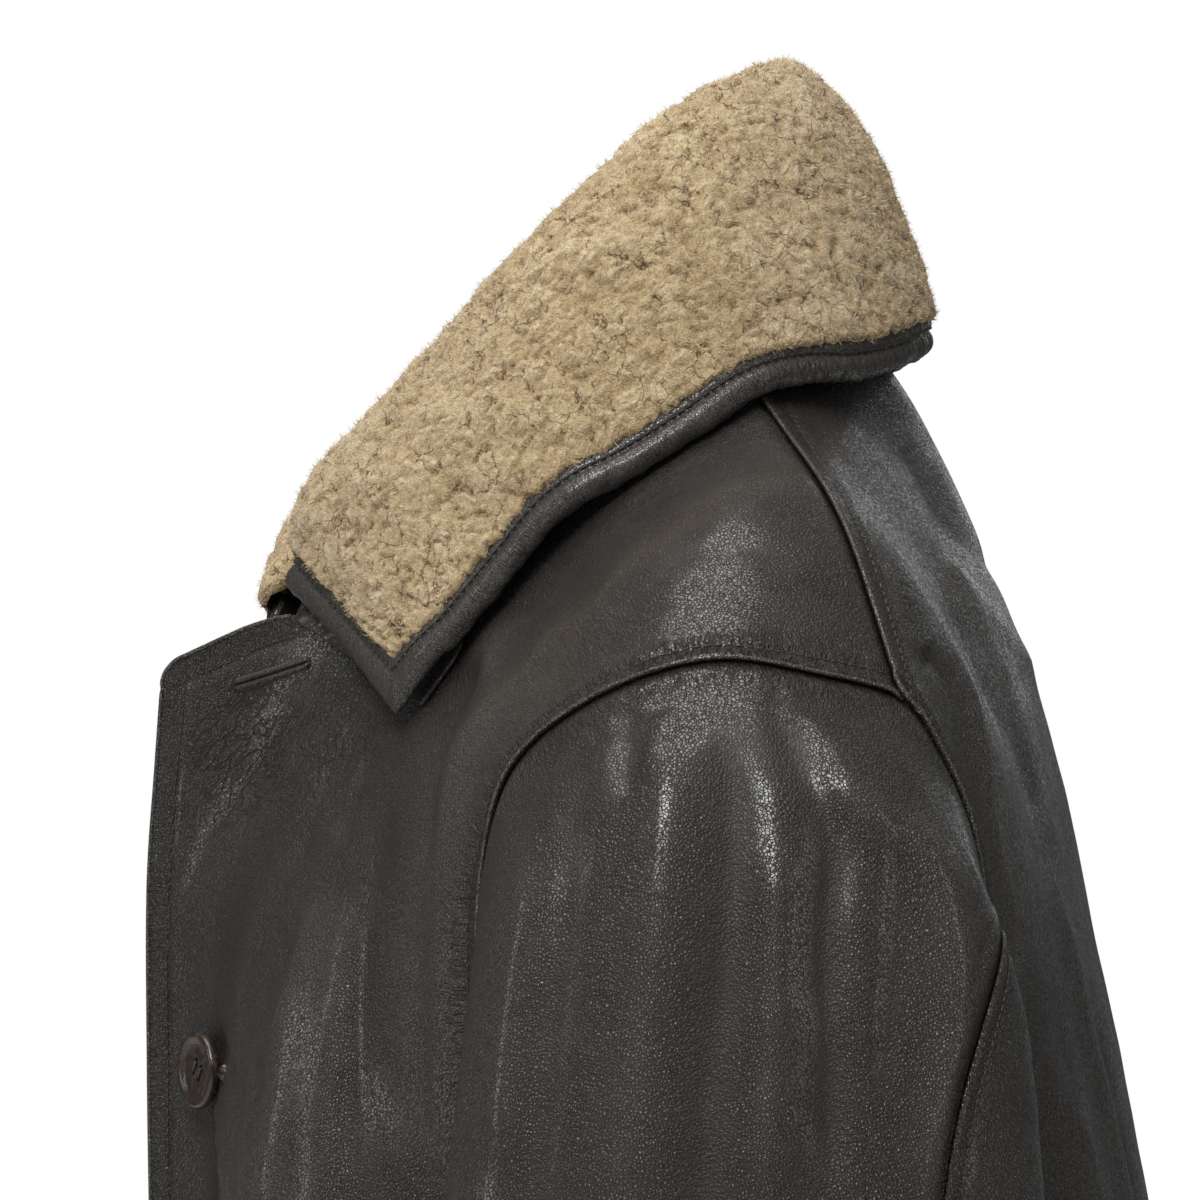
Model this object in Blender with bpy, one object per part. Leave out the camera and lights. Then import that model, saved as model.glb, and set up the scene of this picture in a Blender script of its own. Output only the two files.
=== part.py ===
"""Car coat of pebbled leather with a turned-down shearling collar, in the form it has when it is worn.

Metres, +Z up. The front is towards -Y and the wearer's left is +X, so the left sleeve is at +X. The
origin is at the base of the neck, where the coat is held up. Each piece is a thin wall lofted through
the sections in the tables below, cut where a maker would cut it.
"""

import math

import bpy
import numpy as np
from mathutils import Matrix, Vector
from mathutils.bvhtree import BVHTree

# Thicknesses and gaps
LEATHER = 0.0016
SEAM_GAP = 0.0004
PILE_AT_ROLL = 0.0075
PILE_AT_EDGE = 0.0050
UNDER_COLLAR = 0.0013
COLLAR_LIFT = 0.0012
RIGHT_POINT_DROP = (0.0, -0.009, -0.013)
COLLAR_INSET = 0.0060

# Collar border, throat tab and buttonholes
BORDER_WIDTH = 0.0130
BORDER_THICK = 0.0066
BORDER_CURL = math.radians(36.0)
BORDER_POINT = 1.8
TAB_THICK = 0.0018
TAB_CLEAR = 0.0004
TAB_CORNERS = (
    (0.0375, -0.1185, -0.0826),
    (0.0560, -0.0895, -0.0648),
    (0.0950, -0.0536, -0.0874),
    (0.0800, -0.0720, -0.1127),
)
WELT_SHOWN = 0.0110
WELT_WIDTH = 0.0046
WELT_THICK = 0.0008
TOP_WELT = ((0.0300, -0.1431, -0.1083), (0.0370, -0.1128, -0.0990))
TOP_WELT_FACES = (0.90, -0.42, 0.10)

# Buttons
BUTTON_RADIUS = 0.0140
BUTTON_THICK = 0.0042
BUTTON_RIM = 0.0030
BUTTON_DISH = 0.0016
BUTTON_HOLE_RADIUS = 0.0013
BUTTON_HOLE_SPREAD = 0.0031
BUTTON_SEAT = 0.0003
BUTTON_PITCH = 0.142
FIRST_BUTTON_Z = -0.103
BUTTONS = 5
UNDONE_BUTTON_Z = -0.112
BUTTON_INSET = 0.0095

# The left half of the collar, from the centre of the back to its front end. neck is on the seam with
# the body, and the other five are on the face of the shearling: up the stand, over the roll and down
# the fall.
COLLAR = (
    # section          neck                     stand                    roll
    #                  upper fall               fall                     edge
    ("centre back",    (0.000, 0.068, 0.036),   (0.000, 0.046, 0.080),   (0.000, 0.0595, 0.1210),
                       (0.000, 0.081, 0.104),   (0.000, 0.1005, 0.066),  (0.000, 0.1130, 0.0295)),
    ("back quarter",   (0.043, 0.058, 0.031),   (0.035, 0.036, 0.075),   (0.051, 0.0455, 0.1165),
                       (0.062, 0.062, 0.099),   (0.069, 0.078, 0.062),   (0.076, 0.0860, 0.0185)),
    ("side back",      (0.070, 0.032, 0.018),   (0.056, 0.018, 0.062),   (0.077, 0.0200, 0.1040),
                       (0.091, 0.030, 0.086),   (0.103, 0.040, 0.050),   (0.110, 0.0460, 0.0120)),
    ("side",           (0.080, 0.000, 0.003),   (0.064, -0.002, 0.042),  (0.087, -0.0080, 0.0805),
                       (0.102, -0.004, 0.062),  (0.113, 0.0015, 0.028),  (0.121, 0.0045, -0.0150)),
    ("side front",     (0.077, -0.032, -0.019), (0.061, -0.036, 0.016),  (0.086, -0.0410, 0.0490),
                       (0.101, -0.040, 0.030),  (0.113, -0.036, 0.002),  (0.122, -0.0290, -0.0335)),
    ("front quarter",  (0.066, -0.064, -0.041), (0.050, -0.065, -0.012), (0.077, -0.0680, 0.0190),
                       (0.091, -0.067, 0.000),  (0.103, -0.062, -0.028), (0.113, -0.0505, -0.0580)),
    ("front",          (0.051, -0.094, -0.062), (0.036, -0.090, -0.037), (0.061, -0.0940, -0.0090),
                       (0.077, -0.093, -0.026), (0.091, -0.086, -0.050), (0.106, -0.0690, -0.0800)),
    ("near the end",   (0.043, -0.108, -0.0715), (0.029, -0.100, -0.052), (0.046, -0.1160, -0.0330),
                       (0.064, -0.1085, -0.047), (0.081, -0.098, -0.064), (0.102, -0.0775, -0.0880)),
    ("front end",      (0.036, -0.120, -0.0795), (0.026, -0.108, -0.064), (0.030, -0.1240, -0.0560),
                       (0.0475, -0.1170, -0.0632), (0.070, -0.1027, -0.0782), (0.096, -0.0846, -0.0960)),
)
SHOULDER_SEAM_SECTION = 2

# A front, from the seam behind the shoulder down to the hem. The first rows start on the neck seam,
# at the share of it that neck gives, and the others start at the front edge.
FRONT_STATIONS = (0.0, 0.16, 0.45, 0.75, 1.0)
SHOULDER_ROWS = (
    # row               neck  chest                     flank                     armhole
    ("back seam",       0.00, (0.116, 0.054, -0.0135),  (0.178, 0.0755, -0.0520), (0.2250, 0.0927, -0.1080)),
    ("shoulder",        0.15, (0.1235, 0.031, -0.0222),  (0.192, 0.0460, -0.0490), (0.2400, 0.0640, -0.0995)),
    ("shoulder ridge",  0.30, (0.128, 0.001, -0.0415),  (0.197, 0.0120, -0.0600), (0.2450, 0.0280, -0.0945)),
    ("collar bone",     0.45, (0.120, -0.027, -0.0650), (0.187, -0.022, -0.0870), (0.2370, -0.0120, -0.1075)),
    ("upper chest",     0.60, (0.109, -0.051, -0.0900), (0.171, -0.047, -0.1150), (0.2230, -0.0400, -0.1310)),
    ("collar point",    0.76, (0.090, -0.073, -0.1080), (0.152, -0.067, -0.1410), (0.2080, -0.0495, -0.1630)),
)
# The fold is where the overlap turns forward, and it stays clear of the body above the first fastened
# button.
CHEST_ROWS = (
    # row            chest                     flank                     outer
    ("top edge",     (0.074, -0.094, -0.124),  (0.141, -0.084, -0.168),  (0.1970, -0.0515, -0.205)),
    ("open",         (0.081, -0.113, -0.153),  (0.142, -0.097, -0.202),  (0.1910, -0.0450, -0.250)),
    ("above button", (0.085, -0.130, -0.190),  (0.147, -0.105, -0.235),  (0.1910, -0.0150, -0.300)),
    ("button",       (0.087, -0.139, -0.245),  (0.155, -0.108, -0.278),  (0.2000, 0.0310, -0.327)),
    ("chest",        (0.088, -0.143, -0.320),  (0.160, -0.112, -0.335),  (0.2060, 0.0290, -0.380)),
    ("waist",        (0.090, -0.146, -0.425),  (0.166, -0.114, -0.430),  (0.2115, 0.0260, -0.450)),
    ("hip",          (0.094, -0.151, -0.610),  (0.175, -0.118, -0.610),  (0.2190, 0.0200, -0.610)),
    ("hem",          (0.100, -0.158, -0.865),  (0.186, -0.124, -0.865),  (0.2310, 0.0120, -0.865)),
)
UNDERARM_ROW = len(SHOULDER_ROWS) + 3
LEFT_OVERLAP = (
    # edge                     fold; None is the end of the neck seam
    ((0.018, -0.1685, -0.0985), None),
    ((0.015, -0.1712, -0.1350), (0.037, -0.1310, -0.1290)),
    ((0.011, -0.1742, -0.1770), (0.026, -0.1510, -0.1760)),
    ((0.005, -0.1745, -0.2430), (0.020, -0.1530, -0.2430)),
    ((0.002, -0.1735, -0.3200), (0.018, -0.1545, -0.3200)),
    ((-0.004, -0.1720, -0.4250), (0.016, -0.1560, -0.4250)),
    ((-0.008, -0.1730, -0.6100), (0.014, -0.1590, -0.6100)),
    ((-0.012, -0.1770, -0.8650), (0.012, -0.1650, -0.8650)),
)
RIGHT_UNDERLAP = (
    ((-0.012, -0.1390, -0.1000), None),
    ((-0.016, -0.1400, -0.1370), (0.030, -0.1300, -0.1300)),
    ((-0.022, -0.1410, -0.1780), (0.024, -0.1370, -0.1770)),
    ((-0.028, -0.1405, -0.2430), (0.020, -0.1415, -0.2430)),
    ((-0.030, -0.1420, -0.3200), (0.018, -0.1430, -0.3200)),
    ((-0.032, -0.1440, -0.4250), (0.016, -0.1450, -0.4250)),
    ((-0.032, -0.1470, -0.6100), (0.014, -0.1480, -0.6100)),
    ((-0.032, -0.1530, -0.8620), (0.012, -0.1540, -0.8620)),
)

# The left half of the back, from the row under the neck and shoulder seams down to the hem.
BACK_STATIONS = (0.0, 0.30, 0.46, 0.74, 1.0)
BACK_ROWS = (
    # row            centre                neck                     blade                    flank
    #                outer
    ("collar",       (0.0, 0.0970, 0.008),  (0.080, 0.070, -0.004), (0.115, 0.078, -0.028), (0.172, 0.095, -0.068),
                     (0.2190, 0.107, -0.128)),
    ("yoke",         (0.0, 0.1215, -0.037), (0.080, 0.106, -0.045), (0.115, 0.103, -0.059), (0.168, 0.112, -0.096),
                     (0.2145, 0.116, -0.150)),
    ("blade",        (0.0, 0.1395, -0.080), (0.085, 0.130, -0.090), (0.118, 0.124, -0.102), (0.166, 0.127, -0.131),
                     (0.2105, 0.121, -0.180)),
    ("armhole",      (0.0, 0.1575, -0.138), (0.085, 0.150, -0.145), (0.120, 0.143, -0.152), (0.168, 0.138, -0.175),
                     (0.2060, 0.120, -0.220)),
    ("lower blade",  (0.0, 0.1710, -0.201), (0.085, 0.164, -0.207), (0.122, 0.157, -0.212), (0.170, 0.144, -0.232),
                     (0.2020, 0.106, -0.268)),
    ("under blade",  (0.0, 0.1845, -0.265), (0.085, 0.178, -0.270), (0.125, 0.168, -0.273), (0.175, 0.148, -0.290),
                     (0.1995, 0.074, -0.310)),
    ("underarm",     (0.0, 0.1940, -0.325), (0.085, 0.188, -0.330), (0.128, 0.177, -0.333), (0.180, 0.152, -0.340),
                     (0.2000, 0.031, -0.327)),
    ("chest",        (0.0, 0.1980, -0.390), (0.088, 0.193, -0.390), (0.130, 0.181, -0.390), (0.186, 0.151, -0.390),
                     (0.2060, 0.029, -0.380)),
    ("waist",        (0.0, 0.1990, -0.460), (0.090, 0.194, -0.460), (0.133, 0.183, -0.460), (0.190, 0.150, -0.458),
                     (0.2115, 0.026, -0.450)),
    ("hip",          (0.0, 0.2010, -0.620), (0.092, 0.197, -0.620), (0.136, 0.187, -0.620), (0.196, 0.151, -0.617),
                     (0.2190, 0.020, -0.610)),
    ("hem",          (0.0, 0.2060, -0.865), (0.095, 0.202, -0.865), (0.141, 0.191, -0.865), (0.203, 0.153, -0.865),
                     (0.2310, 0.012, -0.865)),
)
BACK_UNDERARM_ROW = 7

# The left sleeve below the armhole: the centre, half widths and tilt of each ring, how far down the
# sleeve it is, and the angle from the outside round to the seam at the back.
SLEEVE_RINGS = (
    # ring        share  centre                     across  deep    tilt    back seam
    ("head",      0.17,  (0.2465, 0.0390, -0.2425), 0.0345, 0.0970, 0.1025, 62.0),
    ("bicep",     0.33,  (0.2590, 0.0390, -0.3050), 0.0450, 0.1015, 0.0550, 41.0),
    ("upper arm", 0.48,  (0.2665, 0.0370, -0.3850), 0.0465, 0.0990, 0.0200, 38.0),
    ("elbow",     0.67,  (0.2760, 0.0270, -0.4900), 0.0455, 0.0870, 0.0080, 40.0),
    ("forearm",   0.84,  (0.2840, 0.0100, -0.5900), 0.0420, 0.0735, 0.0040, 43.0),
    ("cuff",      1.00,  (0.2900, -0.0060, -0.6800), 0.0400, 0.0620, 0.0000, 46.0),
)
SLEEVE_FRONT_SEAM = -110.0
SLEEVE_BACK_SEAM_ROW = 3

# How finely each piece is divided
OVERLAP_CELLS = 3
CHEST_CELLS = 10
SHOULDER_CELLS = 7
ARMHOLE_CELLS = 6
BODY_CELLS = 8
BACK_NECK_CELLS = 4
BACK_ARMHOLE_CELLS = 8
SLEEVE_CELLS = 11
COLLAR_CELLS = 14
COLLAR_ACROSS = (2, 2, 2, 2, 2)
BORDER_SIDES = 8


def smooth(values, knots, at):
    """Values at `at` on the smooth curve through `values`, which stand at `knots`."""
    values = np.asarray(values, float)
    knots = np.asarray(knots, float)
    at = np.atleast_1d(at)
    slopes = np.gradient(values, knots, axis=0)
    low = np.clip(np.searchsorted(knots, at, side="right") - 1, 0, len(knots) - 2)
    shape = (-1,) + (1,) * (values.ndim - 1)
    step = (knots[low + 1] - knots[low]).reshape(shape)
    t = (at - knots[low]).reshape(shape) / step
    start = (2 * t**3 - 3 * t**2 + 1) * values[low] + (t**3 - 2 * t**2 + t) * step * slopes[low]
    end = (3 * t**2 - 2 * t**3) * values[low + 1] + (t**3 - t**2) * step * slopes[low + 1]
    return start + end


def with_neighbours(values, knots, before=None, after=None):
    """Values and knots with the neighbouring piece's next point added, so that a seam runs on smoothly."""
    values = list(values)
    knots = list(knots)
    if before is not None:
        values.insert(0, before)
        knots.insert(0, 2 * knots[0] - knots[1])
    if after is not None:
        values.append(after)
        knots.append(2 * knots[-1] - knots[-2])
    return np.array(values, float), np.array(knots, float)


def chord_knots(points):
    """Shares of the way along rows of points, from the mean distance between one row and the next."""
    points = np.asarray(points, float)
    steps = np.linalg.norm(np.diff(points, axis=0), axis=-1)
    while steps.ndim > 1:
        steps = steps.mean(axis=-1)
    return np.concatenate([[0.0], np.cumsum(steps)]) / steps.sum()


def divided(knots, stops, cells):
    """Evenly spaced places between chosen knots, which stay exact."""
    places = [[knots[stops[0]]]]
    for first, last, count in zip(stops[:-1], stops[1:], cells):
        places.append(np.linspace(knots[first], knots[last], count + 1)[1:])
    return np.concatenate(places)


def mirrored(points):
    return np.asarray(points) * (-1.0, 1.0, 1.0)


def pulled_in(grid, first_row=0.0, last_row=0.0, first_column=0.0, last_column=0.0):
    """The grid with its borders drawn in by a seam's gap."""
    grid = grid.copy()
    for edge, inside, amount in (
        (grid[0], grid[1], first_row),
        (grid[-1], grid[-2], last_row),
        (grid[:, 0], grid[:, 1], first_column),
        (grid[:, -1], grid[:, -2], last_column),
    ):
        if amount:
            step = inside - edge
            length = np.linalg.norm(step, axis=-1, keepdims=True)
            edge += step / np.where(length > 0, length, 1.0) * amount
    return grid


def grid_quads(rows, columns, keep=None, flip=False):
    number = np.arange(rows * columns).reshape(rows, columns)
    corners = (number[:-1, :-1], number[:-1, 1:], number[1:, 1:], number[1:, :-1])
    quads = np.stack(corners, axis=-1)
    quads = quads.reshape(-1, 4) if keep is None else quads[keep]
    return quads[:, ::-1] if flip else quads


def vertex_normals(points, quads):
    """Unit normals at the points, from the quads round each."""
    across = points[quads[:, 2]] - points[quads[:, 0]]
    other = points[quads[:, 3]] - points[quads[:, 1]]
    face = np.cross(across, other)
    normals = np.zeros_like(points)
    for corner in range(4):
        np.add.at(normals, quads[:, corner], face)
    length = np.linalg.norm(normals, axis=1, keepdims=True)
    return normals / np.where(length > 0, length, 1.0)


def outer_edges(quads):
    """The directed edges that only one quad has."""
    edges = np.concatenate([quads[:, [k, (k + 1) % 4]] for k in range(4)])
    present = set(map(tuple, edges.tolist()))
    return [(a, b) for a, b in edges.tolist() if (b, a) not in present]


def make_object(name, points, faces, material):
    mesh = bpy.data.meshes.new(name)
    mesh.from_pydata([tuple(p) for p in points], [], [tuple(f) for f in faces])
    mesh.update()
    mesh.shade_smooth()
    mesh.set_sharp_from_angle(angle=math.radians(50))
    mesh.materials.append(material)
    obj = bpy.data.objects.new(name, mesh)
    bpy.context.scene.collection.objects.link(obj)
    return obj


def grid_normals(grid, keep=None, flip=False):
    quads = grid_quads(*grid.shape[:2], keep, flip)
    return vertex_normals(np.nan_to_num(grid.reshape(-1, 3)), quads).reshape(grid.shape)


def share_normals(one, other):
    """Gives both sides of a seam the same normals, so that their edges meet as a mitre."""
    both = one + other
    both /= np.linalg.norm(both, axis=-1, keepdims=True)
    one[:] = both
    other[:] = both


def wall(name, grid, thickness, material, keep=None, flip=False, normals=None):
    """A thin closed wall whose outer face is the grid. thickness is one value or one for each point."""
    rows, columns = grid.shape[:2]
    normals = grid_normals(grid, keep, flip) if normals is None else normals
    quads = grid_quads(rows, columns, keep)
    outside = grid.reshape(-1, 3)
    depth = np.broadcast_to(thickness, (rows, columns)).reshape(-1, 1)
    inside = outside - normals.reshape(-1, 3) * depth
    count = len(outside)
    first = np.linalg.norm(outside[quads[:, 0]] - outside[quads[:, 2]], axis=1)
    second = np.linalg.norm(outside[quads[:, 1]] - outside[quads[:, 3]], axis=1)
    turned = np.where((first > second)[:, None], np.roll(quads, -1, axis=1), quads)
    halves = np.concatenate([turned[:, [0, 1, 2]], turned[:, [0, 2, 3]]])
    faces = halves.tolist() + (halves[:, ::-1] + count).tolist()
    faces += [(b, a, a + count, b + count) for a, b in outer_edges(quads)]
    if flip:
        faces = [tuple(face)[::-1] for face in faces]
    points = np.concatenate([outside, inside])
    used = np.unique(np.concatenate([quads.ravel(), quads.ravel() + count]))
    renumber = np.zeros(len(points), int)
    renumber[used] = np.arange(len(used))
    faces = [tuple(renumber[list(face)]) for face in faces]
    return make_object(name, points[used], faces, material)


def principled(name, colour, roughness):
    material = bpy.data.materials.new(name)
    material.use_nodes = True
    shader = material.node_tree.nodes["Principled BSDF"]
    shader.inputs["Base Color"].default_value = (*colour, 1.0)
    shader.inputs["Roughness"].default_value = roughness
    shader.inputs["Metallic"].default_value = 0.0
    return material


def leather(name):
    return principled(name + "_leather", (0.034, 0.029, 0.026), 0.42)


def neck_seam(share):
    """Points on the left half of the neck seam in front of the shoulder seam, 0 to 1."""
    points = [row[1] for row in COLLAR[SHOULDER_SEAM_SECTION:]]
    return smooth(points, chord_knots(points), share)


def front_sections(overlap):
    """Five stations for each row of a front. The shoulder rows have none at the edge."""
    rows = []
    for _, share, chest, flank, armhole in SHOULDER_ROWS:
        rows.append([(np.nan,) * 3, tuple(neck_seam(share)[0]), chest, flank, armhole])
    for (_, chest, flank, outer), (edge, fold) in zip(CHEST_ROWS, overlap):
        fold = tuple(neck_seam(1.0)[0]) if fold is None else fold
        rows.append([edge, fold, chest, flank, outer])
    return np.array(rows)


def front_across(overlap):
    """(sections, their points at every column) of a left front."""
    sections = front_sections(overlap)
    first = len(SHOULDER_ROWS)
    columns = divided(FRONT_STATIONS, (0, 1, 4), (OVERLAP_CELLS, CHEST_CELLS))
    across = np.full((len(sections), len(columns), 3), np.nan)
    for i, row in enumerate(sections):
        if i < first:
            across[i, OVERLAP_CELLS:] = smooth(row[1:], FRONT_STATIONS[1:], columns[OVERLAP_CELLS:])
            continue
        behind = BACK_ROWS[i - UNDERARM_ROW + BACK_UNDERARM_ROW - 1][4] if i >= UNDERARM_ROW else None
        across[i] = smooth(*with_neighbours(row, FRONT_STATIONS, after=behind), columns)
    return sections, across


def back_across():
    """Points of the left half of the back at every column, for each of its rows."""
    columns = divided(BACK_STATIONS, (0, 1, 4), (BACK_NECK_CELLS, CHEST_CELLS))
    across = []
    for i, (_, *row) in enumerate(BACK_ROWS, 1):
        ahead = CHEST_ROWS[i - BACK_UNDERARM_ROW + UNDERARM_ROW - len(SHOULDER_ROWS)][2]
        ahead = ahead if i >= BACK_UNDERARM_ROW else None
        across.append(smooth(*with_neighbours(row, BACK_STATIONS, mirrored(row[1]), ahead), columns))
    return columns, np.array(across)


def front_grid(overlap):
    """(grid, kept cells) of a left front, its outer face."""
    sections, across = front_across(overlap)
    first = len(SHOULDER_ROWS)
    knots = chord_knots(sections[:, 1:])
    places = divided(
        knots, (0, first, UNDERARM_ROW, len(sections) - 1), (SHOULDER_CELLS, ARMHOLE_CELLS, BODY_CELLS)
    )
    grid = np.full((len(places), across.shape[1], 3), np.nan)
    behind = back_across()[1][0, BACK_NECK_CELLS:]
    grid[:, OVERLAP_CELLS:] = smooth(*with_neighbours(across[:, OVERLAP_CELLS:], knots, behind), places)
    low = places >= knots[first] - 1e-9
    grid[low, :OVERLAP_CELLS] = smooth(across[first:, :OVERLAP_CELLS], knots[first:], places[low])
    keep = np.ones((len(places) - 1, across.shape[1] - 1), bool)
    keep[:SHOULDER_CELLS, :OVERLAP_CELLS] = False
    return grid, keep


def back_half_grid(front):
    """The outer face of the left half of the back. Its top row follows the neck and the front's seam."""
    columns, across = back_across()
    neck = [row[1] for row in COLLAR[: SHOULDER_SEAM_SECTION + 1]]
    neck_places = columns[: BACK_NECK_CELLS + 1] / columns[BACK_NECK_CELLS]
    neck = smooth(*with_neighbours(neck, chord_knots(neck), mirrored(neck[1])), neck_places)
    top = np.concatenate([neck, front[0, OVERLAP_CELLS + 1 :]])
    across = np.concatenate([top[None], across])
    ahead = front_across(LEFT_OVERLAP)[1][1, OVERLAP_CELLS:]
    above = np.concatenate([2 * top[:BACK_NECK_CELLS] - across[1, :BACK_NECK_CELLS], ahead])
    knots = chord_knots(across)
    places = divided(knots, (0, BACK_UNDERARM_ROW, len(across) - 1), (BACK_ARMHOLE_CELLS, BODY_CELLS))
    return smooth(*with_neighbours(across, knots, above), places)


def whole_back(half):
    return np.concatenate([mirrored(half)[:, :0:-1], half], axis=1)


def armhole_columns(front, back_half):
    """(points, angles) round the left armhole, from the underarm up the front and down the back."""
    front_edge = front[: SHOULDER_CELLS + ARMHOLE_CELLS + 1, -1]
    back_edge = back_half[: BACK_ARMHOLE_CELLS + 1, -1]
    loop = np.concatenate([front_edge[::-1], back_edge[1:]])
    top = int(np.argmax(loop[:, 2]))
    length = np.concatenate([[0.0], np.cumsum(np.linalg.norm(np.diff(loop, axis=0), axis=1))])
    before = (length - length[top]) / length[top] * 180.0
    after = (length - length[top]) / (length[-1] - length[top]) * 180.0
    return loop, np.where(length < length[top], before, after)


def sleeve_grid(armhole, angles, seam_angles):
    """The outer face of a part of the left sleeve. seam_angles gives each ring's own column angles."""
    rings = [armhole]
    shares = [0.0]
    for (_, share, centre, across, deep, tilt, _), ring_angles in zip(SLEEVE_RINGS, seam_angles):
        turn = np.radians(ring_angles)
        offsets = np.stack([across * np.cos(turn), deep * np.sin(turn), tilt * np.cos(turn)], axis=1)
        rings.append(np.asarray(centre) + offsets)
        shares.append(share)
    return smooth(np.array(rings), shares, np.linspace(0.0, 1.0, SLEEVE_CELLS + 1))


def sleeve_parts(front, back_half):
    """The outer faces of the left top sleeve and under sleeve."""
    loop, angles = armhole_columns(front, back_half)
    back_column = len(loop) - 1 - (BACK_ARMHOLE_CELLS - SLEEVE_BACK_SEAM_ROW)
    front_column = int(np.argmin(np.abs(angles - SLEEVE_FRONT_SEAM)))
    back_angle = angles[back_column]
    front_angle = angles[front_column]
    top = slice(front_column, back_column + 1)
    top_angles = angles[top]
    under_loop = np.concatenate([loop[back_column:], loop[1 : front_column + 1]])
    under_angles = np.concatenate([angles[back_column:], angles[1 : front_column + 1] + 360.0])
    top_rings = []
    under_rings = []
    for ring in SLEEVE_RINGS:
        seam = ring[-1]
        stretch = np.where(top_angles > 0, seam / back_angle, 1.0)
        top_rings.append(top_angles * stretch)
        share = (under_angles - back_angle) / (front_angle + 360.0 - back_angle)
        under_rings.append(seam + share * (front_angle + 360.0 - seam))
    top_grid = sleeve_grid(loop[top], top_angles, top_rings)
    under_grid = sleeve_grid(under_loop, under_angles, under_rings)
    return top_grid, under_grid


def collar_sections():
    """The face of the shearling: one row of six points for each section of the left half."""
    rows = []
    for _, neck, stand, roll, upper, fall, edge in COLLAR:
        inward = np.array((-neck[0], -neck[1], 0.0))
        base = np.array(neck) + inward / np.linalg.norm(inward) * COLLAR_INSET
        base += (0.0, 0.0, COLLAR_LIFT)
        rows.append([base, stand, roll, upper, fall, edge])
    return np.array(rows, float)


def collar_face():
    """(grid, shares across) of the face of the shearling, from the left front end to the right one."""
    sections = collar_sections()
    along = with_neighbours(sections, chord_knots(sections), mirrored(sections[1]))
    half = smooth(*along, np.linspace(0.0, 1.0, COLLAR_CELLS + 1))
    across = chord_knots(np.swapaxes(half, 0, 1))
    shares = divided(across, range(len(across)), COLLAR_ACROSS)
    half = np.swapaxes(smooth(np.swapaxes(half, 0, 1), across, shares), 0, 1)
    towards_end = np.clip(np.linspace(-2.0, 1.0, len(half)), 0.0, 1.0)[:, None, None] ** 2
    past_stand = np.clip(shares / across[2], 0.0, 1.0)[None, :, None] ** 2
    right = mirrored(half) + np.array(RIGHT_POINT_DROP) * towards_end * past_stand
    return np.concatenate([half[::-1], right[1:]]), shares


def pile_depth(shares):
    """The shearling is fullest over the roll and thins towards both seams."""
    roll = shares[sum(COLLAR_ACROSS[:2])]
    rise = np.clip(shares / roll, 0.0, 1.0)
    fall = np.clip((shares - roll) / (1.0 - roll), 0.0, 1.0)
    fullness = rise**0.5 * (1.0 - fall**2)
    return PILE_AT_EDGE + (PILE_AT_ROLL - PILE_AT_EDGE) * fullness


def collar_depths(face, shares):
    """Pile depth at each point of the face, less at the two ends, where the fold is tight."""
    ends = np.abs(np.linspace(-1.0, 1.0, len(face)))[:, None]
    return pile_depth(shares)[None, :] * (1.0 - 0.30 * ends**4)


def round_the_fall(values):
    """What a grid holds along the left front end of the fall, its lower edge and its right front end."""
    start = sum(COLLAR_ACROSS[:2]) + 1
    return np.concatenate([values[0, start:-1], values[:, -1], values[-1, start:-1][::-1]])


def border_path(face, normals):
    """(points, directions away from the fall, widths, normals, curls) round the fall's two ends and edge."""
    points = round_the_fall(face)
    facing = round_the_fall(normals)
    steps = np.diff(points, axis=0)
    steps /= np.linalg.norm(steps, axis=1, keepdims=True)
    before = np.concatenate([steps[:1], steps])
    after = np.concatenate([steps, steps[-1:]])
    away = []
    widths = []
    for point_normal, one, two in zip(facing, before, after):
        first = np.cross(one, point_normal)
        second = np.cross(two, point_normal)
        middle = first / np.linalg.norm(first) + second / np.linalg.norm(second)
        half = np.linalg.norm(middle) / 2.0
        away.append(middle / np.linalg.norm(middle))
        widths.append(1.0 / half**BORDER_POINT)
    away = np.array(away)
    curl = (BORDER_CURL * np.clip(facing[:, 1], 0.0, 1.0) ** 2)[:, None]
    curled = away * np.cos(curl) - facing * np.sin(curl)
    return points, curled, np.array(widths), facing * np.cos(curl) + away * np.sin(curl), curl


def make_border(face, normals, depths, material):
    """A rolled leather edge, a rounded bar whose width is drawn out to a mitre at the collar points."""
    points, away, widths, facing, curl = border_path(face, normals)
    depth = round_the_fall(depths)
    reach = widths[:, None] * (BORDER_WIDTH / 2.0 + SEAM_GAP) + np.sin(curl) * BORDER_THICK / 2.0
    centres = points - round_the_fall(normals) * depth[:, None] * 0.5 + away * reach
    rings = []
    for centre, out, wide, up in zip(centres, away, widths, facing):
        ring = []
        for side in range(BORDER_SIDES):
            turn = 2.0 * math.pi * (side + 0.5) / BORDER_SIDES
            across = math.copysign(abs(math.cos(turn)) ** 0.7, math.cos(turn)) * BORDER_WIDTH / 2.0 * wide
            high = math.copysign(abs(math.sin(turn)) ** 0.7, math.sin(turn)) * BORDER_THICK / 2.0
            ring.append(centre + out * across + up * high)
        rings.append(ring)
    grid = np.array(rings)
    count = len(grid)
    faces = []
    for i in range(count - 1):
        for k in range(BORDER_SIDES):
            here = i * BORDER_SIDES + k
            beside = i * BORDER_SIDES + (k + 1) % BORDER_SIDES
            faces.append((here + BORDER_SIDES, beside + BORDER_SIDES, beside, here))
    faces.append(tuple(range(BORDER_SIDES)))
    faces.append(tuple(range((count - 1) * BORDER_SIDES, count * BORDER_SIDES))[::-1])
    return make_object("collar_border", grid.reshape(-1, 3), faces, material)


def panel_tree(grid, keep):
    quads = grid_quads(*grid.shape[:2], keep)
    points = np.nan_to_num(grid.reshape(-1, 3), nan=9.0)
    return BVHTree.FromPolygons([tuple(p) for p in points], [tuple(q) for q in quads.tolist()])


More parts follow.
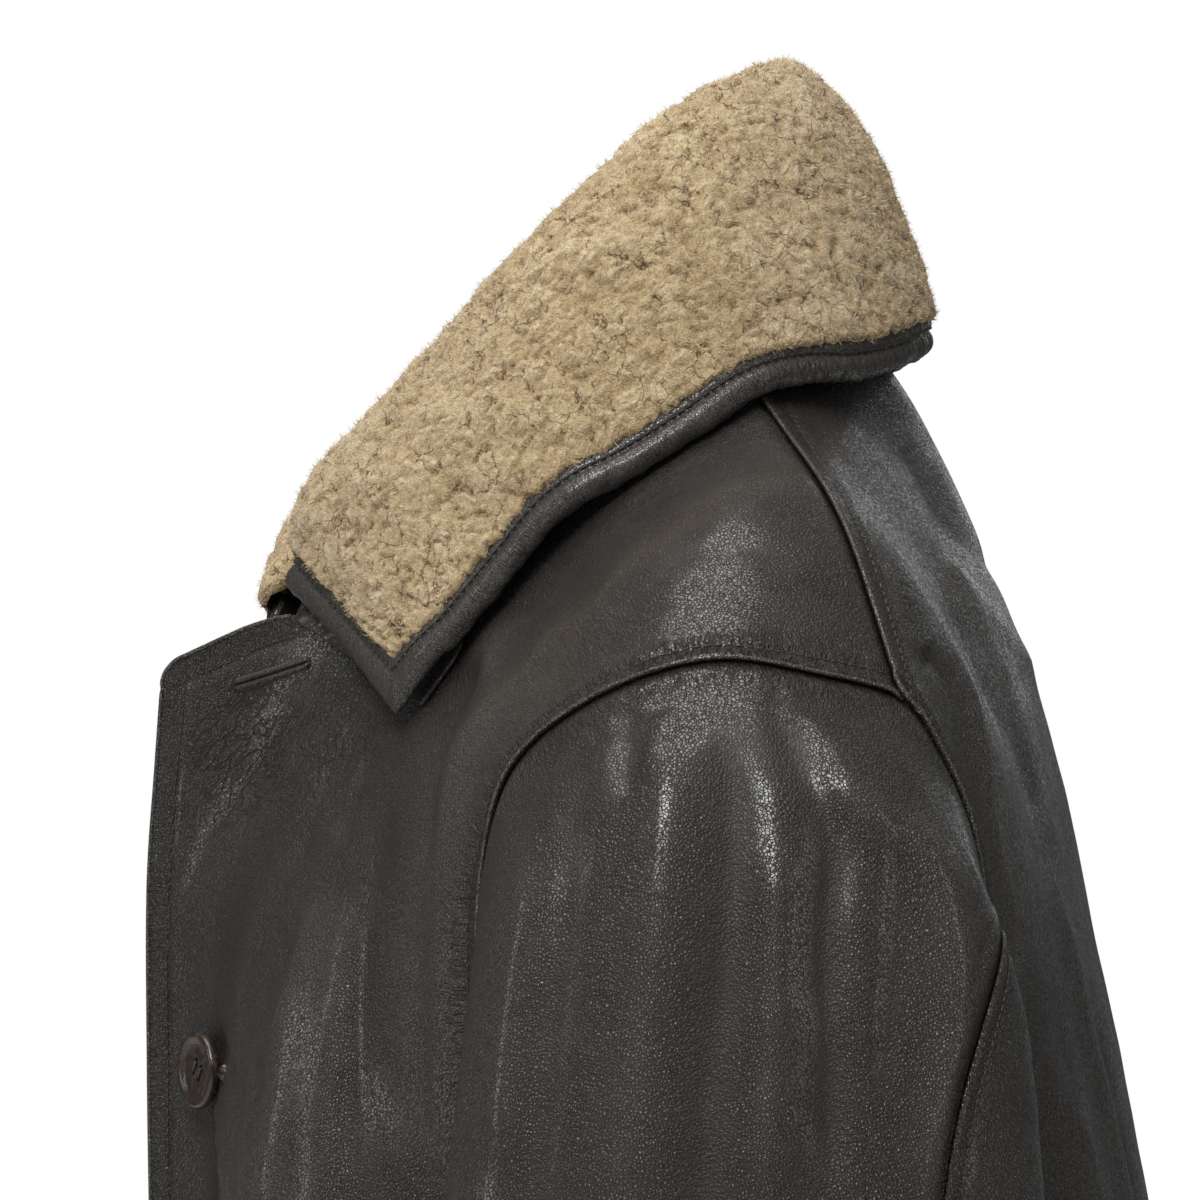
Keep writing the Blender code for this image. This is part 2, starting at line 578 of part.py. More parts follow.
def laid_on(tree, corners, normal, rows, columns):
    """Points of the panel under a four-cornered patch, seen along the patch's normal."""
    top_left, top_right, bottom_right, bottom_left = (Vector(c) for c in corners)
    normal = Vector(normal).normalized()
    grid = np.zeros((rows, columns, 3))
    for i in range(rows):
        down = i / (rows - 1)
        for j in range(columns):
            right = j / (columns - 1)
            start = top_left.lerp(top_right, right).lerp(bottom_left.lerp(bottom_right, right), down)
            hit = tree.ray_cast(start + normal * 0.06, -normal, 0.12)[0]
            grid[i, j] = hit if hit is not None else tree.find_nearest(start)[0]
    return grid


def lifted(grid, distance, flip=False):
    quads = grid_quads(*grid.shape[:2], None, flip)
    points = grid.reshape(-1, 3)
    return (points + vertex_normals(points, quads) * distance).reshape(grid.shape)


def make_tab(tree, material):
    """The throat tab starts at the neck seam and ends in a blunt end below the collar point."""
    grid = laid_on(tree, TAB_CORNERS, (1.0, 0.0, 0.0), 9, 4)
    grid = lifted(grid, TAB_CLEAR + TAB_THICK, flip=True)
    return wall("collar_tab", grid, TAB_THICK, material, flip=True)


def button_frame(grid, z):
    """(place, outward normal) just behind the fold of a front at a height."""
    fold = grid[SHOULDER_CELLS:, OVERLAP_CELLS]
    before = grid[SHOULDER_CELLS:, OVERLAP_CELLS - 1]
    after = grid[SHOULDER_CELLS:, OVERLAP_CELLS + 1]
    order = np.argsort(fold[:, 2])
    heights = fold[order, 2]
    place = np.array([np.interp(z, heights, fold[order, k]) for k in range(3)])
    across = np.array([np.interp(z, heights, (after - before)[order, k]) for k in range(3)])
    across /= np.linalg.norm(across)
    normal = np.cross((0.0, 0.0, -1.0), across)
    return place + across * BUTTON_INSET, normal / np.linalg.norm(normal)


def seated(tree, place, normal, radius):
    """The lowest centre at which a flat round back clears the panel."""
    normal = Vector(normal)
    side = normal.cross(Vector((0.0, 0.0, 1.0))).normalized()
    up = side.cross(normal)
    rise = 0.0
    for share in (0.5, 1.0):
        for step in range(16):
            turn = 2.0 * math.pi * step / 16
            start = Vector(place) + (side * math.cos(turn) + up * math.sin(turn)) * radius * share
            hit = tree.ray_cast(start + normal * 0.03, -normal, 0.06)[0]
            if hit is not None:
                rise = max(rise, (hit - Vector(place)).dot(normal))
    return Vector(place) + normal * (rise + BUTTON_SEAT)


def button_mesh(material):
    """A turned disc with a raised rim and a sunk middle, with four holes cut through."""
    profile = (
        (0.0, 0.0), (BUTTON_RADIUS - 0.0012, 0.0), (BUTTON_RADIUS, 0.0012),
        (BUTTON_RADIUS, BUTTON_THICK - 0.0010), (BUTTON_RADIUS - 0.0010, BUTTON_THICK),
        (BUTTON_RADIUS - BUTTON_RIM, BUTTON_THICK - 0.0002),
        (BUTTON_RADIUS - BUTTON_RIM - 0.0014, BUTTON_THICK - BUTTON_DISH),
        (0.0, BUTTON_THICK - BUTTON_DISH),
    )
    sides = 20
    points = []
    faces = []
    for radius, height in profile[1:-1]:
        for k in range(sides):
            turn = 2.0 * math.pi * k / sides
            points.append((radius * math.cos(turn), radius * math.sin(turn), height))
    for ring in range(len(profile) - 3):
        for k in range(sides):
            a = ring * sides + k
            b = ring * sides + (k + 1) % sides
            faces.append((a, b, b + sides, a + sides))
    faces.append(tuple(range(sides))[::-1])
    last = (len(profile) - 3) * sides
    faces.append(tuple(range(last, last + sides)))
    disc = make_object("button_blank", points, faces, material)
    cutters = []
    for k in range(4):
        turn = math.pi / 4 + k * math.pi / 2
        bpy.ops.mesh.primitive_cylinder_add(vertices=8, radius=BUTTON_HOLE_RADIUS, depth=4 * BUTTON_THICK)
        cutter = bpy.context.object
        cutter.location = (BUTTON_HOLE_SPREAD * math.cos(turn), BUTTON_HOLE_SPREAD * math.sin(turn), 0.0)
        cutter.hide_render = True
        cutter.display_type = "WIRE"
        cut = disc.modifiers.new("hole", "BOOLEAN")
        cut.object = cutter
        cutters.append(cutter)
    bpy.context.view_layer.update()
    evaluated = disc.evaluated_get(bpy.context.evaluated_depsgraph_get())
    mesh = bpy.data.meshes.new_from_object(evaluated)
    mesh.name = "button"
    for obj in [*cutters, disc]:
        bpy.data.objects.remove(obj, do_unlink=True)
    return mesh


def place_button(mesh, name, centre, normal):
    normal = Vector(normal)
    side = Vector((0.0, 0.0, 1.0)).cross(normal).normalized()
    up = normal.cross(side)
    turn = Matrix((side, up, normal)).transposed().to_4x4()
    button = bpy.data.objects.new(name, mesh)
    button.matrix_world = Matrix.Translation(centre) @ turn
    bpy.context.scene.collection.objects.link(button)
    return button


def make_buttons(left, left_tree, right, right_tree):
    mesh = button_mesh(principled("horn", (0.020, 0.014, 0.011), 0.25))
    for k in range(BUTTONS):
        z = FIRST_BUTTON_Z - k * BUTTON_PITCH
        if k == 0:
            place, normal = button_frame(right, UNDONE_BUTTON_Z)
            centre = seated(right_tree, place, normal, BUTTON_RADIUS)
            place_button(mesh, "button_1", mirrored(centre), mirrored(normal))
            continue
        place, normal = button_frame(left, z)
        centre = seated(left_tree, place, normal, BUTTON_RADIUS)
        place_button(mesh, f"button_{k + 1}", centre, normal)


def make_welts(left, left_tree):
    """Two lips of leather round each buttonhole, as one low patch. A button hides most of a fastened one."""
    for k in range(BUTTONS):
        if k == 0:
            start, end = (Vector(p) for p in TOP_WELT)
            normal = Vector(TOP_WELT_FACES).normalized()
            columns = 8
        else:
            place, normal = button_frame(left, FIRST_BUTTON_Z - k * BUTTON_PITCH)
            normal = Vector(normal)
            along = normal.cross(Vector((0.0, 0.0, -1.0))).normalized()
            start = Vector(place) + along * (BUTTON_RADIUS + WELT_THICK)
            end = start + along * WELT_SHOWN
            columns = 4
        half = normal.cross((end - start).normalized()) * WELT_WIDTH / 2.0
        corners = (start + half, end + half, end - half, start - half)
        grid = laid_on(left_tree, corners, normal, 3, columns)
        grid = lifted(grid, TAB_CLEAR + WELT_THICK, flip=True)
        wall(f"buttonhole_{k + 1}", grid, WELT_THICK, leather("welt"), flip=True)


def main():
    for obj in list(bpy.data.objects):
        bpy.data.objects.remove(obj, do_unlink=True)

    half_gap = SEAM_GAP / 2.0
    left, keep = front_grid(LEFT_OVERLAP)
    right, _ = front_grid(RIGHT_UNDERLAP)
    back_half = back_half_grid(left)
    back = whole_back(back_half)
    left_normals = grid_normals(left, keep, flip=True)
    right_normals = grid_normals(right, keep, flip=True)
    back_normals = grid_normals(back)
    shoulder = back_half.shape[1] - 1 + BACK_NECK_CELLS
    share_normals(left_normals[0, OVERLAP_CELLS:], back_normals[0, shoulder:])
    right_normals[0] = left_normals[0]
    back_normals[0, : CHEST_CELLS + 1] = mirrored(back_normals[0, shoulder:])[::-1]

    seams = {"first_row": half_gap, "last_column": half_gap}
    left = pulled_in(left, **seams)
    right = pulled_in(right, **seams)
    back = pulled_in(back, first_row=half_gap, first_column=half_gap, last_column=half_gap)
    wall("front_left", left, LEATHER, leather("front_left"), keep, True, left_normals)
    right_normals = mirrored(right_normals)
    wall("front_right", mirrored(right), LEATHER, leather("front_right"), keep, False, right_normals)
    wall("back", back, LEATHER, leather("back"), None, False, back_normals)

    sleeves = dict(zip(("sleeve_top", "sleeve_under"), sleeve_parts(left, back_half)))
    normals = {name: grid_normals(grid, flip=True) for name, grid in sleeves.items()}
    share_normals(normals["sleeve_top"][:, -1], normals["sleeve_under"][:, 0])
    share_normals(normals["sleeve_top"][:, 0], normals["sleeve_under"][:, -1])
    for name, grid in sleeves.items():
        grid = pulled_in(grid, first_row=SEAM_GAP, first_column=half_gap, last_column=half_gap)
        wall(name + "_left", grid, LEATHER, leather(name), None, True, normals[name])
        wall(name + "_right", mirrored(grid), LEATHER, leather(name), None, False, mirrored(normals[name]))

    face, shares = collar_face()
    depths = collar_depths(face, shares)
    shearling = principled("shearling", (0.52, 0.38, 0.21), 0.95)
    wall("collar_fur", face, depths, shearling)
    normals = grid_normals(face)
    under_face = face - normals * (depths + SEAM_GAP)[..., None]
    wall("collar_under", under_face, UNDER_COLLAR, leather("collar_under"))
    make_border(face, normals, depths, leather("collar_border"))

    left_tree = panel_tree(left, keep)
    right_tree = panel_tree(right, keep)
    make_tab(left_tree, leather("collar_tab"))
    make_welts(left, left_tree)
    make_buttons(left, left_tree, right, right_tree)


main()
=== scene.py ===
# %% [markdown]
# # A leather car coat with a shearling collar
# The coat is cut from two fronts, a back, two-piece sleeves and a turned-down collar. The solids of
# the frame hold its worn form in broad facets. This script lays the finished leather, pile, stitches
# and buttons over that form, piece by piece.

# %% Load the frame
import math

import bpy
import numpy as np
from mathutils import Matrix, Vector, noise
from mathutils.bvhtree import BVHTree
from mathutils.kdtree import KDTree


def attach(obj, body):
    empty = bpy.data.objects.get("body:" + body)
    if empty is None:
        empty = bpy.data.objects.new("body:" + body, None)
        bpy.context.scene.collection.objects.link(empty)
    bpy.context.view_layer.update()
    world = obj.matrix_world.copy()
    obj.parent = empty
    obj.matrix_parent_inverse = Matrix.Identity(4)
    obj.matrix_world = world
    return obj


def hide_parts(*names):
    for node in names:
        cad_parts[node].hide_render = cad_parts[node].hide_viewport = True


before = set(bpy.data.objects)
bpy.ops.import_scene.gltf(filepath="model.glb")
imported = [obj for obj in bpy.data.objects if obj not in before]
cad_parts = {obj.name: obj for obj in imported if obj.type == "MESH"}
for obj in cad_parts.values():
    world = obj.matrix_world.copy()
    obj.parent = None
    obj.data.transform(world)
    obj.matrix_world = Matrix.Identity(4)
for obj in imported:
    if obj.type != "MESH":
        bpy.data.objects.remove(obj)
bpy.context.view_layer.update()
SEED = 11
rng = np.random.default_rng(SEED)
noise.seed_set(SEED)

# %% [markdown]
# ## The cut, as tables
# A loft is a smooth surface through a few sections. Each row below is one section, in metres, and the
# columns are stations on it. They are the same sections as the solids have, so the finished leather
# lies on the frame.

# %% The collar's sections
COLLAR = (
    # neck, stand, roll, upper fall, fall, edge: from the centre of the back to the left front end
    ((0.000, 0.068, 0.036), (0.000, 0.046, 0.080), (0.000, 0.0595, 0.1210),
     (0.000, 0.081, 0.104), (0.000, 0.1005, 0.066), (0.000, 0.1130, 0.0295)),
    ((0.043, 0.058, 0.031), (0.035, 0.036, 0.075), (0.051, 0.0455, 0.1165),
     (0.062, 0.062, 0.099), (0.069, 0.078, 0.062), (0.076, 0.0860, 0.0185)),
    ((0.070, 0.032, 0.018), (0.056, 0.018, 0.062), (0.077, 0.0200, 0.1040),
     (0.091, 0.030, 0.086), (0.103, 0.040, 0.050), (0.110, 0.0460, 0.0120)),
    ((0.080, 0.000, 0.003), (0.064, -0.002, 0.042), (0.087, -0.0080, 0.0805),
     (0.102, -0.004, 0.062), (0.113, 0.0015, 0.028), (0.121, 0.0045, -0.0150)),
    ((0.077, -0.032, -0.019), (0.061, -0.036, 0.016), (0.086, -0.0410, 0.0490),
     (0.101, -0.040, 0.030), (0.113, -0.036, 0.002), (0.122, -0.0290, -0.0335)),
    ((0.066, -0.064, -0.041), (0.050, -0.065, -0.012), (0.077, -0.0680, 0.0190),
     (0.091, -0.067, 0.000), (0.103, -0.062, -0.028), (0.113, -0.0505, -0.0580)),
    ((0.051, -0.094, -0.062), (0.036, -0.090, -0.037), (0.061, -0.0940, -0.0090),
     (0.077, -0.093, -0.026), (0.091, -0.086, -0.050), (0.106, -0.0690, -0.0800)),
    ((0.043, -0.108, -0.0715), (0.029, -0.100, -0.052), (0.046, -0.1160, -0.0330),
     (0.064, -0.1085, -0.047), (0.081, -0.098, -0.064), (0.102, -0.0775, -0.0880)),
    ((0.036, -0.120, -0.0795), (0.026, -0.108, -0.064), (0.030, -0.1240, -0.0560),
     (0.0475, -0.1170, -0.0632), (0.070, -0.1027, -0.0782), (0.096, -0.0846, -0.0960)),
)
SHOULDER_SEAM_SECTION = 2
COLLAR_INSET = 0.0060
COLLAR_LIFT = 0.0012
RIGHT_POINT_DROP = (0.0, -0.009, -0.013)

# %% The fronts' sections
FRONT_STATIONS = (0.0, 0.16, 0.45, 0.75, 1.0)
SHOULDER_ROWS = (
    # share of the neck seam, chest, flank, armhole
    (0.00, (0.116, 0.054, -0.0135), (0.178, 0.0755, -0.0520), (0.2250, 0.0927, -0.1080)),
    (0.15, (0.1235, 0.031, -0.0222), (0.192, 0.0460, -0.0490), (0.2400, 0.0640, -0.0995)),
    (0.30, (0.128, 0.001, -0.0415), (0.197, 0.0120, -0.0600), (0.2450, 0.0280, -0.0945)),
    (0.45, (0.120, -0.027, -0.0650), (0.187, -0.022, -0.0870), (0.2370, -0.0120, -0.1075)),
    (0.60, (0.109, -0.051, -0.0900), (0.171, -0.047, -0.1150), (0.2230, -0.0400, -0.1310)),
    (0.76, (0.090, -0.073, -0.1080), (0.152, -0.067, -0.1410), (0.2080, -0.0495, -0.1630)),
)
CHEST_ROWS = (
    # chest, flank, outer
    ((0.074, -0.094, -0.124), (0.141, -0.084, -0.168), (0.1970, -0.0515, -0.205)),
    ((0.081, -0.113, -0.153), (0.142, -0.097, -0.202), (0.1910, -0.0450, -0.250)),
    ((0.085, -0.130, -0.190), (0.147, -0.105, -0.235), (0.1910, -0.0150, -0.300)),
    ((0.087, -0.139, -0.245), (0.155, -0.108, -0.278), (0.2000, 0.0310, -0.327)),
    ((0.088, -0.143, -0.320), (0.160, -0.112, -0.335), (0.2060, 0.0290, -0.380)),
    ((0.090, -0.146, -0.425), (0.166, -0.114, -0.430), (0.2115, 0.0260, -0.450)),
    ((0.094, -0.151, -0.610), (0.175, -0.118, -0.610), (0.2190, 0.0200, -0.610)),
    ((0.100, -0.158, -0.865), (0.186, -0.124, -0.865), (0.2310, 0.0120, -0.865)),
)
UNDERARM_ROW = len(SHOULDER_ROWS) + 3
LEFT_OVERLAP = (
    # front edge and fold; None is the end of the neck seam
    ((0.018, -0.1685, -0.0985), None),
    ((0.015, -0.1712, -0.1350), (0.037, -0.1310, -0.1290)),
    ((0.011, -0.1742, -0.1770), (0.026, -0.1510, -0.1760)),
    ((0.005, -0.1745, -0.2430), (0.020, -0.1530, -0.2430)),
    ((0.002, -0.1735, -0.3200), (0.018, -0.1545, -0.3200)),
    ((-0.004, -0.1720, -0.4250), (0.016, -0.1560, -0.4250)),
    ((-0.008, -0.1730, -0.6100), (0.014, -0.1590, -0.6100)),
    ((-0.012, -0.1770, -0.8650), (0.012, -0.1650, -0.8650)),
)
RIGHT_UNDERLAP = (
    ((-0.012, -0.1390, -0.1000), None),
    ((-0.016, -0.1400, -0.1370), (0.030, -0.1300, -0.1300)),
    ((-0.022, -0.1410, -0.1780), (0.024, -0.1370, -0.1770)),
    ((-0.028, -0.1405, -0.2430), (0.020, -0.1415, -0.2430)),
    ((-0.030, -0.1420, -0.3200), (0.018, -0.1430, -0.3200)),
    ((-0.032, -0.1440, -0.4250), (0.016, -0.1450, -0.4250)),
    ((-0.032, -0.1470, -0.6100), (0.014, -0.1480, -0.6100)),
    ((-0.032, -0.1530, -0.8620), (0.012, -0.1540, -0.8620)),
)

# %% The back's and the sleeves' sections
BACK_STATIONS = (0.0, 0.30, 0.46, 0.74, 1.0)
BACK_ROWS = (
    # centre, neck, blade, flank, outer
    ((0.0, 0.0970, 0.008), (0.080, 0.070, -0.004), (0.115, 0.078, -0.028),
     (0.172, 0.095, -0.068), (0.2190, 0.107, -0.128)),
    ((0.0, 0.1215, -0.037), (0.080, 0.106, -0.045), (0.115, 0.103, -0.059),
     (0.168, 0.112, -0.096), (0.2145, 0.116, -0.150)),
    ((0.0, 0.1395, -0.080), (0.085, 0.130, -0.090), (0.118, 0.124, -0.102),
     (0.166, 0.127, -0.131), (0.2105, 0.121, -0.180)),
    ((0.0, 0.1575, -0.138), (0.085, 0.150, -0.145), (0.120, 0.143, -0.152),
     (0.168, 0.138, -0.175), (0.2060, 0.120, -0.220)),
    ((0.0, 0.1710, -0.201), (0.085, 0.164, -0.207), (0.122, 0.157, -0.212),
     (0.170, 0.144, -0.232), (0.2020, 0.106, -0.268)),
    ((0.0, 0.1845, -0.265), (0.085, 0.178, -0.270), (0.125, 0.168, -0.273),
     (0.175, 0.148, -0.290), (0.1995, 0.074, -0.310)),
    ((0.0, 0.1940, -0.325), (0.085, 0.188, -0.330), (0.128, 0.177, -0.333),
     (0.180, 0.152, -0.340), (0.2000, 0.031, -0.327)),
    ((0.0, 0.1980, -0.390), (0.088, 0.193, -0.390), (0.130, 0.181, -0.390),
     (0.186, 0.151, -0.390), (0.2060, 0.029, -0.380)),
    ((0.0, 0.1990, -0.460), (0.090, 0.194, -0.460), (0.133, 0.183, -0.460),
     (0.190, 0.150, -0.458), (0.2115, 0.026, -0.450)),
    ((0.0, 0.2010, -0.620), (0.092, 0.197, -0.620), (0.136, 0.187, -0.620),
     (0.196, 0.151, -0.617), (0.2190, 0.020, -0.610)),
    ((0.0, 0.2060, -0.865), (0.095, 0.202, -0.865), (0.141, 0.191, -0.865),
     (0.203, 0.153, -0.865), (0.2310, 0.012, -0.865)),
)
BACK_UNDERARM_ROW = 7
SLEEVE_RINGS = (
    # share down the sleeve, centre, half width across and deep, tilt, angle of the back seam
    (0.17, (0.2465, 0.0390, -0.2425), 0.0345, 0.0970, 0.1025, 62.0),
    (0.33, (0.2590, 0.0390, -0.3050), 0.0450, 0.1015, 0.0550, 41.0),
    (0.48, (0.2665, 0.0370, -0.3850), 0.0465, 0.0990, 0.0200, 38.0),
    (0.67, (0.2760, 0.0270, -0.4900), 0.0455, 0.0870, 0.0080, 40.0),
    (0.84, (0.2840, 0.0100, -0.5900), 0.0420, 0.0735, 0.0040, 43.0),
    (1.00, (0.2900, -0.0060, -0.6800), 0.0400, 0.0620, 0.0000, 46.0),
)

# %% How finely each piece is divided, a whole multiple of the frame's own cells
OVERLAP_CELLS = 3 * 8
CHEST_CELLS = 10 * 9
SHOULDER_CELLS = 7 * 10
ARMHOLE_CELLS = 6 * 16
BODY_CELLS = 8 * 10
BACK_NECK_CELLS = 4 * 6
BACK_ARMHOLE_CELLS = 8 * 14
SLEEVE_CELLS = 11 * 18
SLEEVE_FRONT_COLUMN = 5 * 16
SLEEVE_BACK_ROWS = 3 * 14
ARMHOLE_ROWS = SHOULDER_CELLS + ARMHOLE_CELLS + 1
BACK_ARMHOLE_ROWS = BACK_ARMHOLE_CELLS + 1

# %% [markdown]
# ## Lofting
# A cubic curve through the stations of a row, and then through the rows, gives a surface with no
# corners. The points of the neighbouring piece are added past each end, so that a seam doesn't break
# the curve. NumPy does a whole table at once.

# %% Unit vectors and lengths along a line
def unit(vectors):
    return vectors / np.linalg.norm(vectors, axis=-1, keepdims=True)


def arc_length(line):
    return np.concatenate([[0.0], np.cumsum(np.linalg.norm(np.diff(line, axis=0), axis=1))])


def points_at(line, length, at):
    """Points of a line at places along it, where length is its arc length."""
    return np.stack([np.interp(at, length, line[:, k]) for k in range(3)], axis=1)

# %% Smooth curves through a table
def smooth(values, knots, at):
    values = np.asarray(values, float)
    knots = np.asarray(knots, float)
    at = np.atleast_1d(at)
    slopes = np.gradient(values, knots, axis=0)
    low = np.clip(np.searchsorted(knots, at, side="right") - 1, 0, len(knots) - 2)
    shape = (-1,) + (1,) * (values.ndim - 1)
    step = (knots[low + 1] - knots[low]).reshape(shape)
    t = (at - knots[low]).reshape(shape) / step
    start = (2 * t**3 - 3 * t**2 + 1) * values[low] + (t**3 - 2 * t**2 + t) * step * slopes[low]
    end = (3 * t**2 - 2 * t**3) * values[low + 1] + (t**3 - t**2) * step * slopes[low + 1]
    return start + end


def with_neighbours(values, knots, before=None, after=None):
    values = list(values)
    knots = list(knots)
    if before is not None:
        values.insert(0, before)
        knots.insert(0, 2 * knots[0] - knots[1])
    if after is not None:
        values.append(after)
        knots.append(2 * knots[-1] - knots[-2])
    return np.array(values, float), np.array(knots, float)


def chord_knots(points):
    steps = np.linalg.norm(np.diff(np.asarray(points, float), axis=0), axis=-1)
    while steps.ndim > 1:
        steps = steps.mean(axis=-1)
    return np.concatenate([[0.0], np.cumsum(steps)]) / steps.sum()


def divided(knots, stops, cells):
    places = [[knots[stops[0]]]]
    for first, last, count in zip(stops[:-1], stops[1:], cells):
        places.append(np.linspace(knots[first], knots[last], count + 1)[1:])
    return np.concatenate(places)


def mirrored(points):
    return np.asarray(points) * (-1.0, 1.0, 1.0)

# %% The fronts
def neck_seam(share):
    points = [row[0] for row in COLLAR[SHOULDER_SEAM_SECTION:]]
    return smooth(points, chord_knots(points), share)


def front_across(overlap):
    rows = [[(np.nan,) * 3, tuple(neck_seam(row[0])[0]), *row[1:]] for row in SHOULDER_ROWS]
    for stations, (edge, fold) in zip(CHEST_ROWS, overlap):
        rows.append([edge, tuple(neck_seam(1.0)[0]) if fold is None else fold, *stations])
    columns = divided(FRONT_STATIONS, (0, 1, 4), (OVERLAP_CELLS, CHEST_CELLS))
    across = np.full((len(rows), len(columns), 3), np.nan)
    for i, row in enumerate(rows):
        if i < len(SHOULDER_ROWS):
            across[i, OVERLAP_CELLS:] = smooth(row[1:], FRONT_STATIONS[1:], columns[OVERLAP_CELLS:])
            continue
        behind = BACK_ROWS[i - UNDERARM_ROW + BACK_UNDERARM_ROW - 1][3] if i >= UNDERARM_ROW else None
        across[i] = smooth(*with_neighbours(row, FRONT_STATIONS, after=behind), columns)
    return np.array(rows), across


def back_across():
    columns = divided(BACK_STATIONS, (0, 1, 4), (BACK_NECK_CELLS, CHEST_CELLS))
    across = []
    for i, row in enumerate(BACK_ROWS, 1):
        ahead = None
        if i >= BACK_UNDERARM_ROW:
            ahead = CHEST_ROWS[i - BACK_UNDERARM_ROW + UNDERARM_ROW - len(SHOULDER_ROWS)][1]
        across.append(smooth(*with_neighbours(row, BACK_STATIONS, mirrored(row[1]), ahead), columns))
    return columns, np.array(across)


def front_grid(overlap):
    sections, across = front_across(overlap)
    first = len(SHOULDER_ROWS)
    knots = chord_knots(sections[:, 1:])
    stops = (0, first, UNDERARM_ROW, len(sections) - 1)
    places = divided(knots, stops, (SHOULDER_CELLS, ARMHOLE_CELLS, BODY_CELLS))
    grid = np.full((len(places), across.shape[1], 3), np.nan)
    behind = back_across()[1][0, BACK_NECK_CELLS:]
    grid[:, OVERLAP_CELLS:] = smooth(*with_neighbours(across[:, OVERLAP_CELLS:], knots, behind), places)
    low = places >= knots[first] - 1e-9
    grid[low, :OVERLAP_CELLS] = smooth(across[first:, :OVERLAP_CELLS], knots[first:], places[low])
    keep = np.ones((len(places) - 1, across.shape[1] - 1), bool)
    keep[:SHOULDER_CELLS, :OVERLAP_CELLS] = False
    return grid, keep


left_front, FRONT_KEEP = front_grid(LEFT_OVERLAP)
right_front, _ = front_grid(RIGHT_UNDERLAP)
print("a front has", FRONT_KEEP.sum(), "cells")

# %% The back
def back_half_grid(front):
    columns, across = back_across()
    neck = [row[0] for row in COLLAR[: SHOULDER_SEAM_SECTION + 1]]
    neck_places = columns[: BACK_NECK_CELLS + 1] / columns[BACK_NECK_CELLS]
    neck = smooth(*with_neighbours(neck, chord_knots(neck), mirrored(neck[1])), neck_places)
    top = np.concatenate([neck, front[0, OVERLAP_CELLS + 1 :]])
    across = np.concatenate([top[None], across])
    ahead = front_across(LEFT_OVERLAP)[1][1, OVERLAP_CELLS:]
    above = np.concatenate([2 * top[:BACK_NECK_CELLS] - across[1, :BACK_NECK_CELLS], ahead])
    knots = chord_knots(across)
    places = divided(knots, (0, BACK_UNDERARM_ROW, len(across) - 1), (BACK_ARMHOLE_CELLS, BODY_CELLS))
    return smooth(*with_neighbours(across, knots, above), places)


back_half = back_half_grid(left_front)
whole_back = np.concatenate([mirrored(back_half)[:, :0:-1], back_half], axis=1)
print("the back has", (whole_back.shape[0] - 1) * (whole_back.shape[1] - 1), "cells")

# %% The sleeves
def armhole_columns(front, back):
    loop = np.concatenate([front[:ARMHOLE_ROWS, -1][::-1], back[1:BACK_ARMHOLE_ROWS, -1]])
    top = int(np.argmax(loop[:, 2]))
    length = arc_length(loop)
    before = (length - length[top]) / length[top] * 180.0
    after = (length - length[top]) / (length[-1] - length[top]) * 180.0
    return loop, np.where(length < length[top], before, after)


def sleeve_grid(armhole, seam_angles):
    rings = [armhole]
    for (_, centre, across, deep, tilt, _), ring_angles in zip(SLEEVE_RINGS, seam_angles):
        turn = np.radians(ring_angles)
        offsets = np.stack([across * np.cos(turn), deep * np.sin(turn), tilt * np.cos(turn)], axis=1)
        rings.append(np.asarray(centre) + offsets)
    shares = [0.0] + [ring[0] for ring in SLEEVE_RINGS]
    return smooth(np.array(rings), shares, np.linspace(0.0, 1.0, SLEEVE_CELLS + 1))


def sleeve_parts(front, back):
    loop, angles = armhole_columns(front, back)
    last = len(loop) - 1 - (BACK_ARMHOLE_CELLS - SLEEVE_BACK_ROWS)
    first = SLEEVE_FRONT_COLUMN
    top = slice(first, last + 1)
    under_loop = np.concatenate([loop[last:], loop[1 : first + 1]])
    under_angles = np.concatenate([angles[last:], angles[1 : first + 1] + 360.0])
    share = (under_angles - angles[last]) / (angles[first] + 360.0 - angles[last])
    top_rings = []
    under_rings = []
    for ring in SLEEVE_RINGS:
        seam = ring[-1]
        top_rings.append(angles[top] * np.where(angles[top] > 0, seam / angles[last], 1.0))
        under_rings.append(seam + share * (angles[first] + 360.0 - seam))
    return sleeve_grid(loop[top], top_rings), sleeve_grid(under_loop, under_rings)


top_sleeve, under_sleeve = sleeve_parts(left_front, back_half)
print("a top sleeve has", (top_sleeve.shape[0] - 1) * (top_sleeve.shape[1] - 1), "cells")

# %% [markdown]
# ## Creases
# Worn leather folds where the arm, the collar and the buttons pull on it. Each crease is a short line
# with a height and a width on either side, drawn on a side view of the coat that is 1200 units across.
# NumPy measures how far each point of a panel lies from the line, and the point moves along its normal.
# A shaped line like this is easier to steer than a simulation.

# %% The side view
UNIT = 0.000365
EYE = Vector((3.2, -0.01, -0.075))
HALF_VIEW = 600.0


def side_view(points):
    scale = UNIT * (EYE.x - np.abs(points[..., 0])) / EYE.x
    across = HALF_VIEW + (points[..., 1] - EYE.y) / scale
    return np.stack([across, HALF_VIEW - (points[..., 2] - EYE.z) / scale], axis=-1)


def rounded_line(line, count=30):
    line = np.asarray(line, float)
    return smooth(line, chord_knots(line), np.linspace(0.0, 1.0, count))


